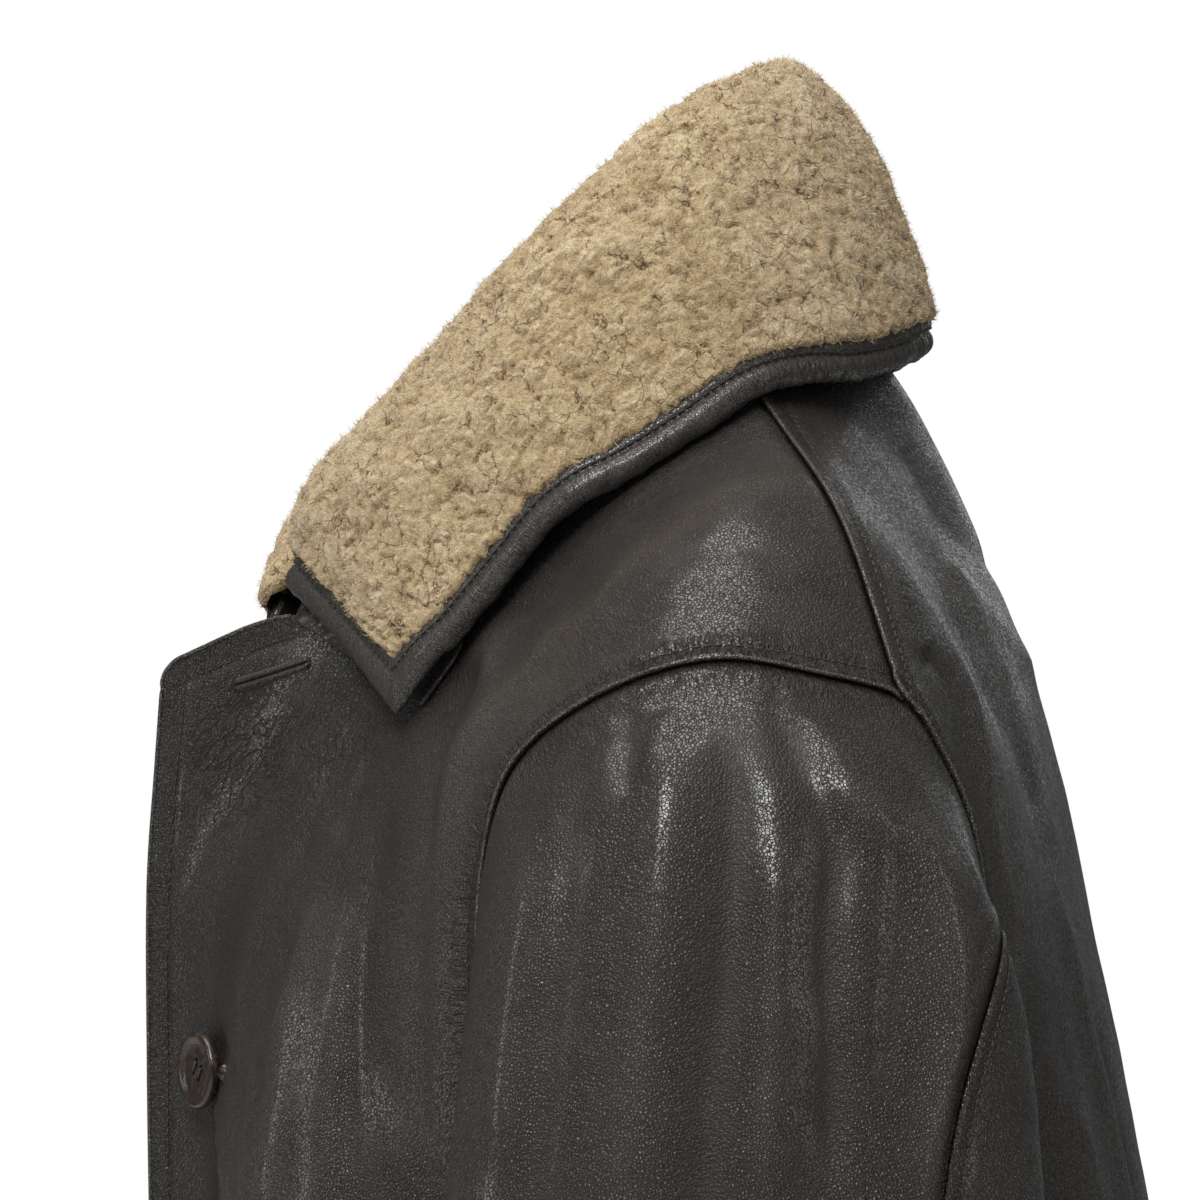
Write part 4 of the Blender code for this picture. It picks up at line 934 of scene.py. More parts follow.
# %% Seam lines, on the left half
half_gap = SEAM_GAP / 2.0
armhole_loop, _ = armhole_columns(left_front, back_half)
ARMHOLE = SeamLine(armhole_loop)
SHOULDER_SEAM = SeamLine(left_front[0, OVERLAP_CELLS:])
SIDE_SEAM = SeamLine(left_front[-side_rows:, -1])
BACK_SLEEVE_SEAM = SeamLine(top_sleeve[:, -1])
FRONT_SLEEVE_SEAM = SeamLine(top_sleeve[:, 0])
CUFF_EDGE = SeamLine(np.concatenate([top_sleeve[-1], under_sleeve[-1]]))
FRONT_EDGE = {side: SeamLine(grid[SHOULDER_CELLS:, 0])
              for side, grid in (("left", left_front), ("right", right_front))}
TOP_EDGE = {side: SeamLine(grid[SHOULDER_CELLS, : OVERLAP_CELLS + 1])
            for side, grid in (("left", left_front), ("right", right_front))}
HEM_EDGE = {"left": SeamLine(left_front[-1]), "right": SeamLine(right_front[-1]),
            "back": SeamLine(back_half[-1])}
print("armhole", round(ARMHOLE.at[-1] * 1000), "mm, sleeve seam", round(BACK_SLEEVE_SEAM.at[-1] * 1000), "mm")

# %% Small creases round the seams
def seam_field(distance, place, reach, strong, offset=0.0):
    """Strength, place along and distance of the small creases that cross a seam."""
    return strong * np.exp(-(distance / reach) ** 2), place + offset, distance


def wrinkles(fields, shape):
    """The wrinkle attribute. Its strength falls to nothing where one field takes over from another."""
    strengths = np.array([field[0] for field in fields])
    owner = strengths.argmax(axis=0)
    pick = (owner, np.arange(len(owner)))
    ranked = np.sort(strengths, axis=0)
    strength = (ranked[-1] - (ranked[-2] if len(fields) > 1 else 0.0)).reshape(shape)
    owner = owner.reshape(shape)
    for reach, least in ((2, 0.5), (1, 0.0)):
        change = np.zeros(shape, bool)
        for axis in (0, 1):
            turned = np.diff(owner, axis=axis) != 0
            for shift in range(-reach + 1, reach + 1):
                at = np.argwhere(turned)
                at[:, axis] = np.clip(at[:, axis] + shift, 0, shape[axis] - 1)
                change[tuple(at.T)] = True
        strength[change] *= least
    along, away = (np.array([field[k] for field in fields])[pick] for k in (1, 2))
    return np.stack([along, away, strength.ravel()], axis=1)


def even_wrinkles(along, away, strength):
    """The wrinkle attribute of a small piece, equally strong all over it."""
    return np.stack([np.ravel(along), np.ravel(away), np.full(np.size(along), strength)], axis=1)


WRINKLED_PLACES = (
    # centre, radii and angle of the creases on the side view, strength
    ((262, 760), (105, 105), 126.0, 1.15),
    ((250, 930), (60, 90), 104.0, 0.8),
    ((350, 860), (50, 80), 118.0, 0.8),
    ((455, 760), (40, 90), 106.0, 1.0),
    ((925, 560), (46, 110), 58.0, 1.7),
    ((960, 700), (46, 90), 76.0, 1.3),
    ((560, 640), (50, 40), 60.0, 0.9),
    ((880, 480), (50, 60), 52.0, 1.4),
    ((1030, 860), (40, 120), 74.0, 0.9),
    ((1075, 1040), (30, 110), 80.0, 0.8),
)


def placed_fields(points, normals):
    """Small creases that follow a drag line instead of a seam."""
    places = side_view(points)
    sideways = eased((np.abs(normals[:, 0]) - 0.15) / 0.40)
    places[points[:, 0] < 0] += (11.0, -17.0)
    fields = []
    for centre, radii, angle, strong in WRINKLED_PLACES:
        here = strong * sideways * np.exp(-(((places - centre) / radii) ** 2).sum(axis=1))
        turn = math.radians(angle)
        across = (places[:, 0] * math.sin(turn) - places[:, 1] * math.cos(turn)) * SIDE_UNIT
        down = (places[:, 0] * math.cos(turn) + places[:, 1] * math.sin(turn)) * SIDE_UNIT
        fields.append((here, across, down))
    return fields


def shade_and_wear(height):
    """Ridges turn paler, partly rubbed and partly a painted sheen; hollows get a painted shade and stay matt.
    """
    return np.clip(height / 4.0, -1.0, 1.0)

# %% The fronts
LEATHER_PAIR = (BODY_LEATHER, SUEDE)
CORNER_MM = 7.5
ARMHOLE_LAP = 0.0009
SHOULDER_LAP = 0.0010


def rounded_corner(grid, edge, top):
    """Moves of the points near the front's top corner that make it round."""
    towards_edge = grid[:, :1] - grid[:, 1:2]
    first, next_down = (grid[SHOULDER_CELLS + row, :OVERLAP_CELLS].mean(axis=0) for row in (0, 2))
    towards_top = np.repeat((first - next_down)[None, None], len(grid), axis=0)
    a, b = (np.clip(1.0 - d.reshape(grid.shape[:2]) / CORNER_MM, 0.0, 1.0)[..., None] for d in (edge, top))
    moves = 0.0
    for way, own, other in ((towards_edge, a, b), (towards_top, b, a)):
        moves = moves + unit(way) * own * (np.sqrt(1.0 - other**2 / 2.0) - 1.0) * CORNER_MM / 1000.0
    return np.nan_to_num(moves)


def fold_smoothed(grid):
    """The overlap turns into the chest below the end of the neck seam; this takes the corner off it."""
    rows, reach = 60, 10
    block = grid[SHOULDER_CELLS : SHOULDER_CELLS + rows, OVERLAP_CELLS - reach : OVERLAP_CELLS + reach + 1]
    smoothed = block.copy()
    for _ in range(40):
        smoothed[:, 1:-1] = (smoothed[:, :-2] + 2.0 * smoothed[:, 1:-1] + smoothed[:, 2:]) / 4.0
    block += (smoothed - block) * (1.0 - eased(np.arange(rows) / (rows - 1.0)))[:, None, None]
    return grid


def front_panel(side, grid, normals):
    shape = grid.shape[:2]
    own = np.nan_to_num(grid.reshape(-1, 3))
    facing = normals.reshape(-1, 3)
    sign = 1.0 if side == "left" else -1.0
    real = own * (sign, 1.0, 1.0)
    armhole, place = ARMHOLE.distances(own)
    shoulder, shoulder_place = SHOULDER_SEAM.distances(own)
    seam, seam_place = SIDE_SEAM.distances(own)
    edge, edge_place = FRONT_EDGE[side].distances(own)
    top, top_place = TOP_EDGE[side].distances(own)
    hem, hem_place = HEM_EDGE[side].distances(own)
    free = np.minimum(edge, top)
    height = body_creases(real, facing * (sign, 1.0, 1.0))
    height *= eased((armhole - 3.0) / 10.0) * eased((free - 3.0) / 9.0) * eased((shoulder - 1.0) / 7.0)
    height += lapped(armhole, ARMHOLE_STITCH) + underneath(shoulder) + hemmed(edge, EDGE_STITCH)
    height += hemmed(top, EDGE_STITCH) * (own[:, 1] < -0.09) + hemmed(hem, HEM_STITCH) + pressed_open(seam)
    moved = (own + facing * height[:, None] / 1000.0).reshape(grid.shape) + rounded_corner(grid, edge, top)
    moved = fold_smoothed(moved)
    wrinkle = wrinkles([
        seam_field(armhole, place, 11.0, 2.6), seam_field(shoulder, shoulder_place, 7.0, 1.0, 900.0),
        seam_field(edge, edge_place, 9.0, 1.2, 1900.0), seam_field(top, top_place, 9.0, 1.0, 2900.0),
        seam_field(hem, hem_place, 14.0, 0.6, 3900.0), seam_field(seam, seam_place, 7.0, 0.5, 4900.0),
        *placed_fields(real, facing)], shape)
    lap = pulled_in(moved, first_row=half_gap, last_column=half_gap)
    lap[:ARMHOLE_ROWS, -1] += unit(moved[:ARMHOLE_ROWS, -1] - moved[:ARMHOLE_ROWS, -2]) * ARMHOLE_LAP
    if side == "left":
        panel = wall("front_left_hide", lap, normals, LEATHER, LEATHER_PAIR, FRONT_KEEP, True,
                     {"wrinkle": wrinkle, "wear_sheen_and_shade": shade_and_wear(height)})
        return panel, lap
    held = {"wrinkle": wrinkle.reshape(*shape, 3)[::2, ::2], "wear_sheen_and_shade": shade_and_wear(height).reshape(shape)[::2, ::2]}
    panel = wall("front_right_hide", mirrored(lap[::2, ::2]), mirrored(normals[::2, ::2]), LEATHER,
                 LEATHER_PAIR, FRONT_KEEP[::2, ::2], False, held)
    return panel, lap


front_left_hide, left_face = front_panel("left", left_front, left_normals)
front_right_hide, right_face = front_panel("right", right_front, right_normals)
print("fronts", [len(panel.data.polygons) for panel in (front_left_hide, front_right_hide)], "faces")

# %% The back
def back_panel():
    own = whole_back.reshape(-1, 3)
    facing = back_normals.reshape(-1, 3)
    folded = np.abs(own) * (1.0, 0.0, 0.0) + own * (0.0, 1.0, 1.0)
    armhole, place = ARMHOLE.distances(folded)
    shoulder, shoulder_place = SHOULDER_SEAM.distances(folded)
    seam, seam_place = SIDE_SEAM.distances(folded)
    hem, hem_place = HEM_EDGE["back"].distances(folded)
    height = body_creases(own, facing)
    height *= eased((armhole - 3.0) / 10.0) * eased((shoulder - 4.0) / 8.0)
    height += lapped(armhole, ARMHOLE_STITCH) + lapped(shoulder, SHOULDER_STITCH)
    height += hemmed(hem, HEM_STITCH) + pressed_open(seam)
    moved = (own + facing * height[:, None] / 1000.0).reshape(whole_back.shape)
    moved = pulled_in(moved, first_row=half_gap, first_column=half_gap, last_column=half_gap)
    over = np.zeros((moved.shape[1], 1))
    over[SHOULDER + 2 :] = over[: CHEST_CELLS - 1] = SHOULDER_LAP
    moved[0] += unit(moved[0] - moved[1]) * over
    rows = slice(1, BACK_ARMHOLE_ROWS)
    for column, inner in ((0, 1), (-1, -2)):
        moved[rows, column] += unit(moved[rows, column] - moved[rows, inner]) * ARMHOLE_LAP
    wrinkle = wrinkles([
        seam_field(armhole, place, 11.0, 2.0, 700.0), seam_field(shoulder, shoulder_place, 10.0, 1.4),
        seam_field(hem, hem_place, 14.0, 0.6, 3900.0), seam_field(seam, seam_place, 7.0, 0.5, 4900.0),
        *placed_fields(own, facing)], whole_back.shape[:2])
    panel = wall("back_hide", moved, back_normals, LEATHER, LEATHER_PAIR, None, False,
                 {"wrinkle": wrinkle, "wear_sheen_and_shade": shade_and_wear(height)})
    return panel, moved


back_hide, back_face = back_panel()
print("back", len(back_hide.data.polygons), "faces")

# %% The sleeves
def allowance():
    """Ways from the armhole into the body and out of it, along the armhole."""
    rows = slice(1, BACK_ARMHOLE_ROWS)
    into = np.concatenate([(left_front[:ARMHOLE_ROWS, -2] - left_front[:ARMHOLE_ROWS, -1])[::-1],
                           back_half[rows, -2] - back_half[rows, -1]])
    facing = np.concatenate([left_normals[:ARMHOLE_ROWS, -1][::-1], back_normals[rows, -1]])
    return unit(into), facing


def sleeve_order(values, part):
    first = SLEEVE_FRONT_COLUMN
    last = len(values) - 1 - (BACK_ARMHOLE_CELLS - SLEEVE_BACK_ROWS)
    if part == "top":
        return values[first : last + 1]
    return np.concatenate([values[last:], values[1 : first + 1]])


ALLOWANCE = allowance()
TUCKED_ROWS = ((0.0030, 0.0012), (0.0014, 0.0005))  # into the body and up, under the front's edge
# Painted shade: the two tucked rows lie in the gap under the front's edge and are coloured dark brown and
# matt.
TUCKED_SHADE = -2.5


def sleeve_panel(part, grid, normals, side):
    own = grid.reshape(-1, 3)
    facing = normals.reshape(-1, 3)
    head, place = ARMHOLE.distances(own)
    back_seam, back_place = BACK_SLEEVE_SEAM.distances(own)
    front_seam, front_place = FRONT_SLEEVE_SEAM.distances(own)
    cuff, cuff_place = CUFF_EDGE.distances(own)
    height = sleeve_creases(own, side) * eased((head - 4.0) / 14.0) * eased((cuff - 4.0) / 20.0)
    height *= 0.35 + 0.65 * eased(np.minimum(back_seam, front_seam) / 9.0)
    height += underneath(head) + hemmed(cuff, CUFF_STITCH)
    if part == "under":
        height += lapped(back_seam, SLEEVE_STITCH) * eased(head / 12.0)
    else:
        height += (underneath(back_seam) + 0.35) * 0.8 * eased(head / 12.0) * (back_seam < 9.0)
    height += pressed_open(front_seam, 2.2, 0.45, 1.3)
    moved = (own + facing * height[:, None] / 1000.0).reshape(grid.shape)
    moved = pulled_in(moved, first_row=SEAM_GAP, first_column=half_gap, last_column=half_gap)
    wrinkle = wrinkles([
        seam_field(head, place, 14.0, 1.0, 300.0), seam_field(back_seam, back_place, 7.0, 0.8, 1300.0),
        seam_field(front_seam, front_place, 6.0, 0.6, 2300.0),
        seam_field(cuff, cuff_place, 12.0, 0.7, 3300.0)], grid.shape[:2])
    into, body_facing = (sleeve_order(values, part) for values in ALLOWANCE)
    tucked = [moved[0] + into * inward + body_facing * up for inward, up in TUCKED_ROWS]
    moved = np.concatenate([np.array(tucked), moved])
    normals = np.concatenate([[body_facing, normals[0]], normals])
    held = {"wrinkle": wrinkle.reshape(*grid.shape[:2], 3), "wear_sheen_and_shade": shade_and_wear(height).reshape(grid.shape[:2])}
    held = {key: np.concatenate([value[:1], value[:1], value]) for key, value in held.items()}
    # the tucked rows get the painted shade of the gap
    held["wear_sheen_and_shade"][:2] = TUCKED_SHADE
    name = f"sleeve_{part}_{'left' if side > 0 else 'right'}_hide"
    pair = (SLEEVE_LEATHER, SUEDE)
    if side > 0:
        return wall(name, moved, normals, LEATHER, pair, None, True, held), moved
    held = {key: value[::2, ::2] for key, value in held.items()}
    return wall(name, mirrored(moved[::2, ::2]), mirrored(normals[::2, ::2]), LEATHER, pair, None, False,
                held), moved


sleeves = {}
for part, grid in (("top", top_sleeve), ("under", under_sleeve)):
    for side in (1, -1):
        sleeves[part, side] = sleeve_panel(part, grid, sleeve_normals[part], side)
print("sleeves", sum(len(panel.data.polygons) for panel, _ in sleeves.values()), "faces")

# %% Stay tape inside the armhole
TAPE_DOWN = 0.0027
TAPE_THICK = 0.0005
TAPE_INTO_THE_BODY = (0.0100, 0.0045)
TAPE_SLEEVE_ROWS = (2, 4, 7)


def stay_tape():
    """Grid and normals of a narrow tape over the inside of the armhole seam, closed into a ring."""
    count = len(ALLOWANCE[0])
    last = count - 1 - (BACK_ARMHOLE_CELLS - SLEEVE_BACK_ROWS)

    def in_a_ring(top, under):
        return np.concatenate([under[:, count - last :], top[:, 1:], under[:, 1 : count - last]], axis=1)

    sleeve = in_a_ring(sleeves["top", 1][1], sleeves["under", 1][1])
    down = in_a_ring(sleeve_normals["top"], sleeve_normals["under"])
    into, facing = (values[1:] for values in ALLOWANCE)
    normals = np.array([facing, facing, facing + down[0], down[2], down[5]])
    normals = unit(normals)
    places = [sleeve[2] + into * reach for reach in TAPE_INTO_THE_BODY]
    places = np.array(places + [sleeve[row] for row in TAPE_SLEEVE_ROWS]) - normals * TAPE_DOWN
    return [np.concatenate([values, values[:, :1]], axis=1) for values in (places, normals)]


tape, tape_normals = stay_tape()
tape_flip = (grid_normals(tape) * tape_normals).sum() < 0
for side, turn in (("left", np.asarray), ("right", mirrored)):
    wall(f"armhole_{side}_tape", turn(tape), turn(tape_normals), TAPE_THICK, (SUEDE,),
         flip=bool(tape_flip) == (side == "left"))

# %% [markdown]
# ## The collar
# The top collar is one piece of sheepskin with its wool on. The pelt is a closed wall on the form of
# the frame. The wool on it is dense and curled into tufts, with clefts between them that are painted
# dark as shade, and the tufts' tops are painted lighter. Worley noise in three dimensions gives each
# point its tuft, and the tufts become domes. Tens of thousands of short ribbons of hair grow out of
# the domes, leaning the way each tuft leans, and soften the outline.

# %% The face of the collar
COLLAR_CELLS = 14
COLLAR_ACROSS = (2, 2, 2, 2, 2)
PILE_AT_ROLL = 0.0075
PILE_AT_EDGE = 0.0050
UNDER_COLLAR = 0.0013


def collar_sections():
    rows = []
    for neck, *others in COLLAR:
        inward = np.array((-neck[0], -neck[1], 0.0))
        base = np.array(neck) + inward / np.linalg.norm(inward) * COLLAR_INSET
        rows.append([base + (0.0, 0.0, COLLAR_LIFT), *others])
    return np.array(rows, float)


def collar_face(along_cells, across_cells):
    sections = collar_sections()
    along = with_neighbours(sections, chord_knots(sections), mirrored(sections[1]))
    half = smooth(*along, np.linspace(0.0, 1.0, along_cells + 1))
    across = chord_knots(np.swapaxes(half, 0, 1))
    shares = divided(across, range(len(across)), across_cells)
    half = np.swapaxes(smooth(np.swapaxes(half, 0, 1), across, shares), 0, 1)
    towards_end = np.clip(np.linspace(-2.0, 1.0, len(half)), 0.0, 1.0)[:, None, None] ** 2
    past_stand = np.clip(shares / across[2], 0.0, 1.0)[None, :, None] ** 2
    right = mirrored(half) + np.array(RIGHT_POINT_DROP) * towards_end * past_stand
    return np.concatenate([half[::-1], right[1:]]), shares, across[2]


def collar_depths(face, shares, roll):
    rise = np.clip(shares / roll, 0.0, 1.0)
    fall = np.clip((shares - roll) / (1.0 - roll), 0.0, 1.0)
    depth = PILE_AT_EDGE + (PILE_AT_ROLL - PILE_AT_EDGE) * rise**0.5 * (1.0 - fall**2)
    ends = np.abs(np.linspace(-1.0, 1.0, len(face)))[:, None]
    return depth[None, :] * (1.0 - 0.30 * ends**4)


WOOL_ALONG = 14 * 20
WOOL_ACROSS = (8, 16, 36, 40, 40)
wool_base, wool_shares, ROLL_SHARE = collar_face(WOOL_ALONG, WOOL_ACROSS)
wool_normals = grid_normals(wool_base)
print("collar face", wool_base.shape[:2])

# %% The wool's materials
CLEFTS = (
    # cells to a metre, width, the cloud's values between which the lines appear, depth of the painted shade
    (118.0, 0.070, 0.47, 0.56, 0.50),
    (235.0, 0.075, 0.56, 0.44, 0.24),
)


def clefts(tree, place, cloud):
    """Painted shade: thin broken dark lines between the tufts, from two sizes of cells with wandering edges.
    """
    sway = scaled(tree, cloudy(tree, place, 240.0, 2.0, output="Color"), 0.0065)
    moved = vector_maths(tree, "ADD", place, sway)
    depth = 0.0
    for scale, width, low, high, amount in CLEFTS:
        from_edge = worley(tree, moved, scale, "DISTANCE_TO_EDGE")["Distance"]
        line = maths(tree, "MULTIPLY", ramp(tree, from_edge, width, 0.0), ramp(tree, cloud, low, high))
        depth = maths(tree, "MULTIPLY_ADD", line, amount, depth)
    return depth


def wool_material(name, strands):
    material, tree, shader, place = new_material(name)
    # shade carries painted light and shade from the form of the tufts
    shade = node(tree, "ShaderNodeAttribute", attribute_name="shade").outputs["Fac"]
    cloud = cloudy(tree, place, 70.0, 3.0)
    value = maths(tree, "MULTIPLY_ADD", maths(tree, "SUBTRACT", cloud, 0.5), 0.28, shade)
    speck = cloudy(tree, place, 1100.0, 2.0)
    value = maths(tree, "MULTIPLY_ADD", maths(tree, "SUBTRACT", speck, 0.5), 0.7, value)
    value = maths(tree, "SUBTRACT", value, clefts(tree, place, cloud))
    low = colour_mix(tree, ramp(tree, value, 0.0, 0.42), (0.130, 0.075, 0.030), (0.430, 0.310, 0.160))
    colour = colour_mix(tree, ramp(tree, value, 0.40, 1.0), low, (0.66, 0.545, 0.350))
    tree.links.new(colour, shader.inputs["Base Color"])
    for title, constant in (("Roughness", 0.85), ("Specular IOR Level", 0.15), ("Sheen Weight", 0.25),
                            ("Sheen Roughness", 0.5)):
        shader.inputs[title].default_value = constant
    if not strands:
        fibre = maths(tree, "MULTIPLY", cloudy(tree, place, 1500.0, 3.0, 1.5), 0.7)
        height = maths(tree, "MULTIPLY_ADD", cloudy(tree, place, 520.0, 2.0, 2.0), 1.1, fibre)
        bumped(tree, shader, height, 1.1 * MILLIMETRE)
    return material


WOOL = wool_material("shearling wool", False)
STRANDS = wool_material("shearling strands", True)

# %% The pelt
pelt_base, pelt_shares, _ = collar_face(COLLAR_CELLS * 4, (8, 8, 8, 8, 8))
pelt_normals = grid_normals(pelt_base)
pelt_depths = collar_depths(pelt_base, pelt_shares, ROLL_SHARE)
SUNK = 0.0030
# The sunk pelt has the wool's material with a low shade value, so it is dark: painted shade, as of deep wool
# under the tufts.
wall("collar_pelt", pelt_base - pelt_normals * SUNK, pelt_normals, pelt_depths - SUNK, (WOOL, SUEDE),
     attributes={"shade": np.full(pelt_base[..., 0].size, 0.1)})

# %% Curled tufts
TUFT = 0.0100
CURL = 0.0043
FAR_END_FORWARD = (0.0, -0.0055, -0.0065)


def tuft_field(points):
    """(height mm, shade, lean) of the wool at points of the collar's face."""
    height = np.zeros(len(points))
    shade = np.zeros(len(points))
    lean = np.zeros((len(points), 3))
    for i, point in enumerate(points):
        place = Vector(point)
        sway = noise.noise_vector(place / 0.0085) * 0.0034 + noise.noise_vector(place / 0.0034) * 0.0012
        spread, seeds = noise.voronoi((place + sway) / TUFT)
        inner, _ = noise.voronoi((place + sway * 0.8) / CURL + Vector((7.1, 3.3, 1.9)))
        gap = spread[1] - spread[0]
        small_gap = inner[1] - inner[0]
        broken = max(0.0, min(1.0, 0.35 + 2.4 * noise.noise(place / 0.0085)))
        split = math.exp(-(noise.noise(place / 0.0062 + sway / 0.005) / 0.07) ** 2)
        split *= max(0.0, min(1.0, 2.6 * noise.noise(place / 0.0070 + Vector((3.0, 8.0, 1.0)))))
        cleft = max(math.exp(-(gap / 0.085) ** 2) * broken, split)
        crease = math.exp(-(small_gap / 0.13) ** 2)
        dome = 1.0 - min(1.0, spread[0]) ** 2
        curl = 1.0 - min(1.0, inner[0]) ** 2
        swell = noise.noise(place / 0.019)
        fine = noise.noise(place / 0.0013) * 0.55 + noise.noise(place / 0.0022 + sway / 0.002) * 0.7
        height[i] = 1.05 * dome + 0.70 * curl + 1.2 * swell + fine - 1.6 * cleft - 0.45 * crease - 1.1
        # shade is painted light and shade on the wool: lighter on the tufts' domes, darker in the clefts and
        # small creases, with some noise
        shade[i] = 0.47 + 0.12 * dome + 0.10 * curl + 0.12 * swell + 0.15 * fine
        shade[i] -= 0.24 * cleft + 0.09 * crease
        lean[i] = place + sway - seeds[0] * TUFT
    return height, np.clip(shade, 0.0, 1.0), lean


wool_points = wool_base.reshape(-1, 3)
wool_height, wool_shade, wool_lean = tuft_field(wool_points)
print("wool height mm", wool_height.min().round(2), wool_height.max().round(2))

# %% The wool over the pelt
rows, columns = wool_base.shape[:2]
along_edge = np.minimum(np.arange(rows), rows - 1 - np.arange(rows))[:, None] * 1.0
across_edge = np.minimum(np.arange(columns)[None, :] * 2.0, (columns - 1 - np.arange(columns))[None, :] * 1.0)
near_edge = np.minimum(along_edge, across_edge)
rounding = np.clip(near_edge / 3.0, 0.0, 1.0)
skirt = -(1.0 - np.sqrt(np.clip(1.0 - (1.0 - rounding) ** 2, 0.0, 1.0))) * 3.2
in_the_neck = eased(np.clip(wool_shares / (ROLL_SHARE * 0.8), 0.0, 1.0))[None, :]
height = wool_height.reshape(rows, columns) * (0.45 + 0.55 * in_the_neck) + skirt
facing = wool_normals
wool_face = wool_base + facing * height[..., None] / 1000.0
far_end = eased(np.clip(np.linspace(-6.2, 1.6, rows), 0.0, 1.0))[:, None]
far_end = far_end * eased(np.clip((wool_shares - ROLL_SHARE * 0.55) / 0.2, 0.0, 1.0))[None, :]
wool_face += far_end[..., None] * FAR_END_FORWARD
outward = unit(wool_base[:, -1:] - wool_base[:, -4:-3])
edge_noise = np.array([noise.noise(Vector(p) / 0.0045) + 0.6 * noise.noise(Vector(p) / 0.0018)
                       for p in wool_base[:, -1]])
overhang = eased(np.clip(1.0 - (columns - 1 - np.arange(columns)) / 7.0, 0.0, 1.0))[None, :]
wool_face += outward * (overhang * (0.9 + 2.2 * edge_noise[:, None]).clip(-0.6, 2.6))[..., None] / 1000.0
# The wool's shade is darker where it rounds off at the collar's edges: painted shade.
wool = wall("collar_wool", wool_face, facing, 0.0012, (WOOL,), step=4,
            attributes={"shade": wool_shade * (0.5 + 0.5 * rounding.reshape(-1))})
print("wool", len(wool.data.polygons), "faces")

# %% Strands of hair
def strands(name, count, wave):
    """Short bent ribbons, three triangles each, rooted on the wool's tufts."""
    quads = grid_quads(rows, columns)
    flat = wool_face.reshape(-1, 3)
    diagonals = flat[quads[:, 2]] - flat[quads[:, 0]], flat[quads[:, 3]] - flat[quads[:, 1]]
    size = np.linalg.norm(np.cross(*diagonals), axis=1)
    size *= 0.25 + 0.75 * in_the_neck.ravel()[quads[:, 0] % columns]
    chosen = quads[rng.choice(len(quads), count, p=size / size.sum())]
    first, second = rng.random((2, count, 1))
    root = (flat[chosen[:, 0]] * (1 - first) + flat[chosen[:, 1]] * first) * (1 - second)
    root += (flat[chosen[:, 3]] * (1 - first) + flat[chosen[:, 2]] * first) * second
    up = facing.reshape(-1, 3)[chosen[:, 0]]
    lean = wool_lean[chosen[:, 0]]
    lean -= up * (lean * up).sum(axis=1, keepdims=True)
    lean /= TUFT * 0.5
    swirl = np.cross(up, lean)
    out = up * (0.55 + 0.35 * rng.random((count, 1))) + lean * 0.75 + swirl * 0.55
    out = unit(out + rng.normal(0.0, 0.28, (count, 3)))
    length = rng.uniform(0.0013, 0.0029, (count, 1))
    bend = swirl * wave + rng.normal(0.0, 0.35, (count, 3)) - up * 0.35
    side = unit(np.cross(out, up + rng.normal(0.0, 0.4, (count, 3))))
    width = rng.uniform(0.00006, 0.00011, (count, 1))
    middle = root + out * length * 0.55
    tip = middle + (out + bend * 0.7) * length * 0.45
    root = root - up * 0.0003
    points = np.stack([root - side * width, root + side * width, middle - side * width * 0.9,
                       middle + side * width * 0.9, tip], axis=1).reshape(-1, 3)
    start = np.arange(count)[:, None] * 5
    faces = [*(start + (0, 1, 3, 2)).tolist(), *(start + (2, 3, 4)).tolist()]
    # Painted shade and light along each hair: darker at the root, lighter at the tip, on top of the tuft's
    # shade.
    shade = wool_shade[chosen[:, 0]][:, None] + rng.normal(0.0, 0.10, (count, 1))
    shade = shade + np.array([-0.12, -0.12, 0.05, 0.05, 0.18])
    return new_object(name, points, faces, (STRANDS,), {"shade": np.clip(shade, 0.0, 1.0).ravel()})


hair = [strands("collar_strands_a", 30000, 0.9), strands("collar_strands_b", 30000, -0.9)]
print("strands", sum(len(obj.data.polygons) for obj in hair) // 2)

# %% The under collar
under_face = pelt_base - pelt_normals * (pelt_depths + SEAM_GAP)[..., None]
along, across = np.indices(under_face.shape[:2])
wall("collar_under_leather", under_face, pelt_normals, UNDER_COLLAR, (SMOOTH_LEATHER,),
     attributes={"wrinkle": even_wrinkles(along * 3.0, across * 4.0, 0.25), "wear_sheen_and_shade": np.zeros(along.size)})

# %% [markdown]
# ## The rolled border
# The collar's edge is bound in leather: a strip is sewn beside the wool, rolled over a soft filling and
# turned under. One section of the roll is swept along the frame's own border, so it comes to a point at
# each end. It is gathered at the back, where the strip has to turn a tight curve.

# %% Rings of the border
BORDER_WIDTH = 0.0130
BORDER_THICK = 0.0066
BORDER_CURL = math.radians(36.0)
BORDER_POINT = 1.8
BORDER_SIDES = 40
BORDER_GROOVE = 5  # the side that lies in the groove beside the wool
ROLL_SECTION = (
    # out from the wool, up, in millimetres, round the roll
    (-2.2, -0.6), (-0.6, 0.5), (1.2, 1.3), (2.4, 1.2), (3.0, 0.55), (3.7, 1.5), (5.2, 2.9), (7.0, 3.6),
    (9.0, 3.5), (10.8, 2.8), (12.3, 1.5), (13.1, 0.0), (12.9, -1.5), (11.6, -2.8), (9.0, -3.5),
    (5.0, -3.6), (1.0, -3.5), (-1.6, -3.1), (-2.4, -1.9),
)


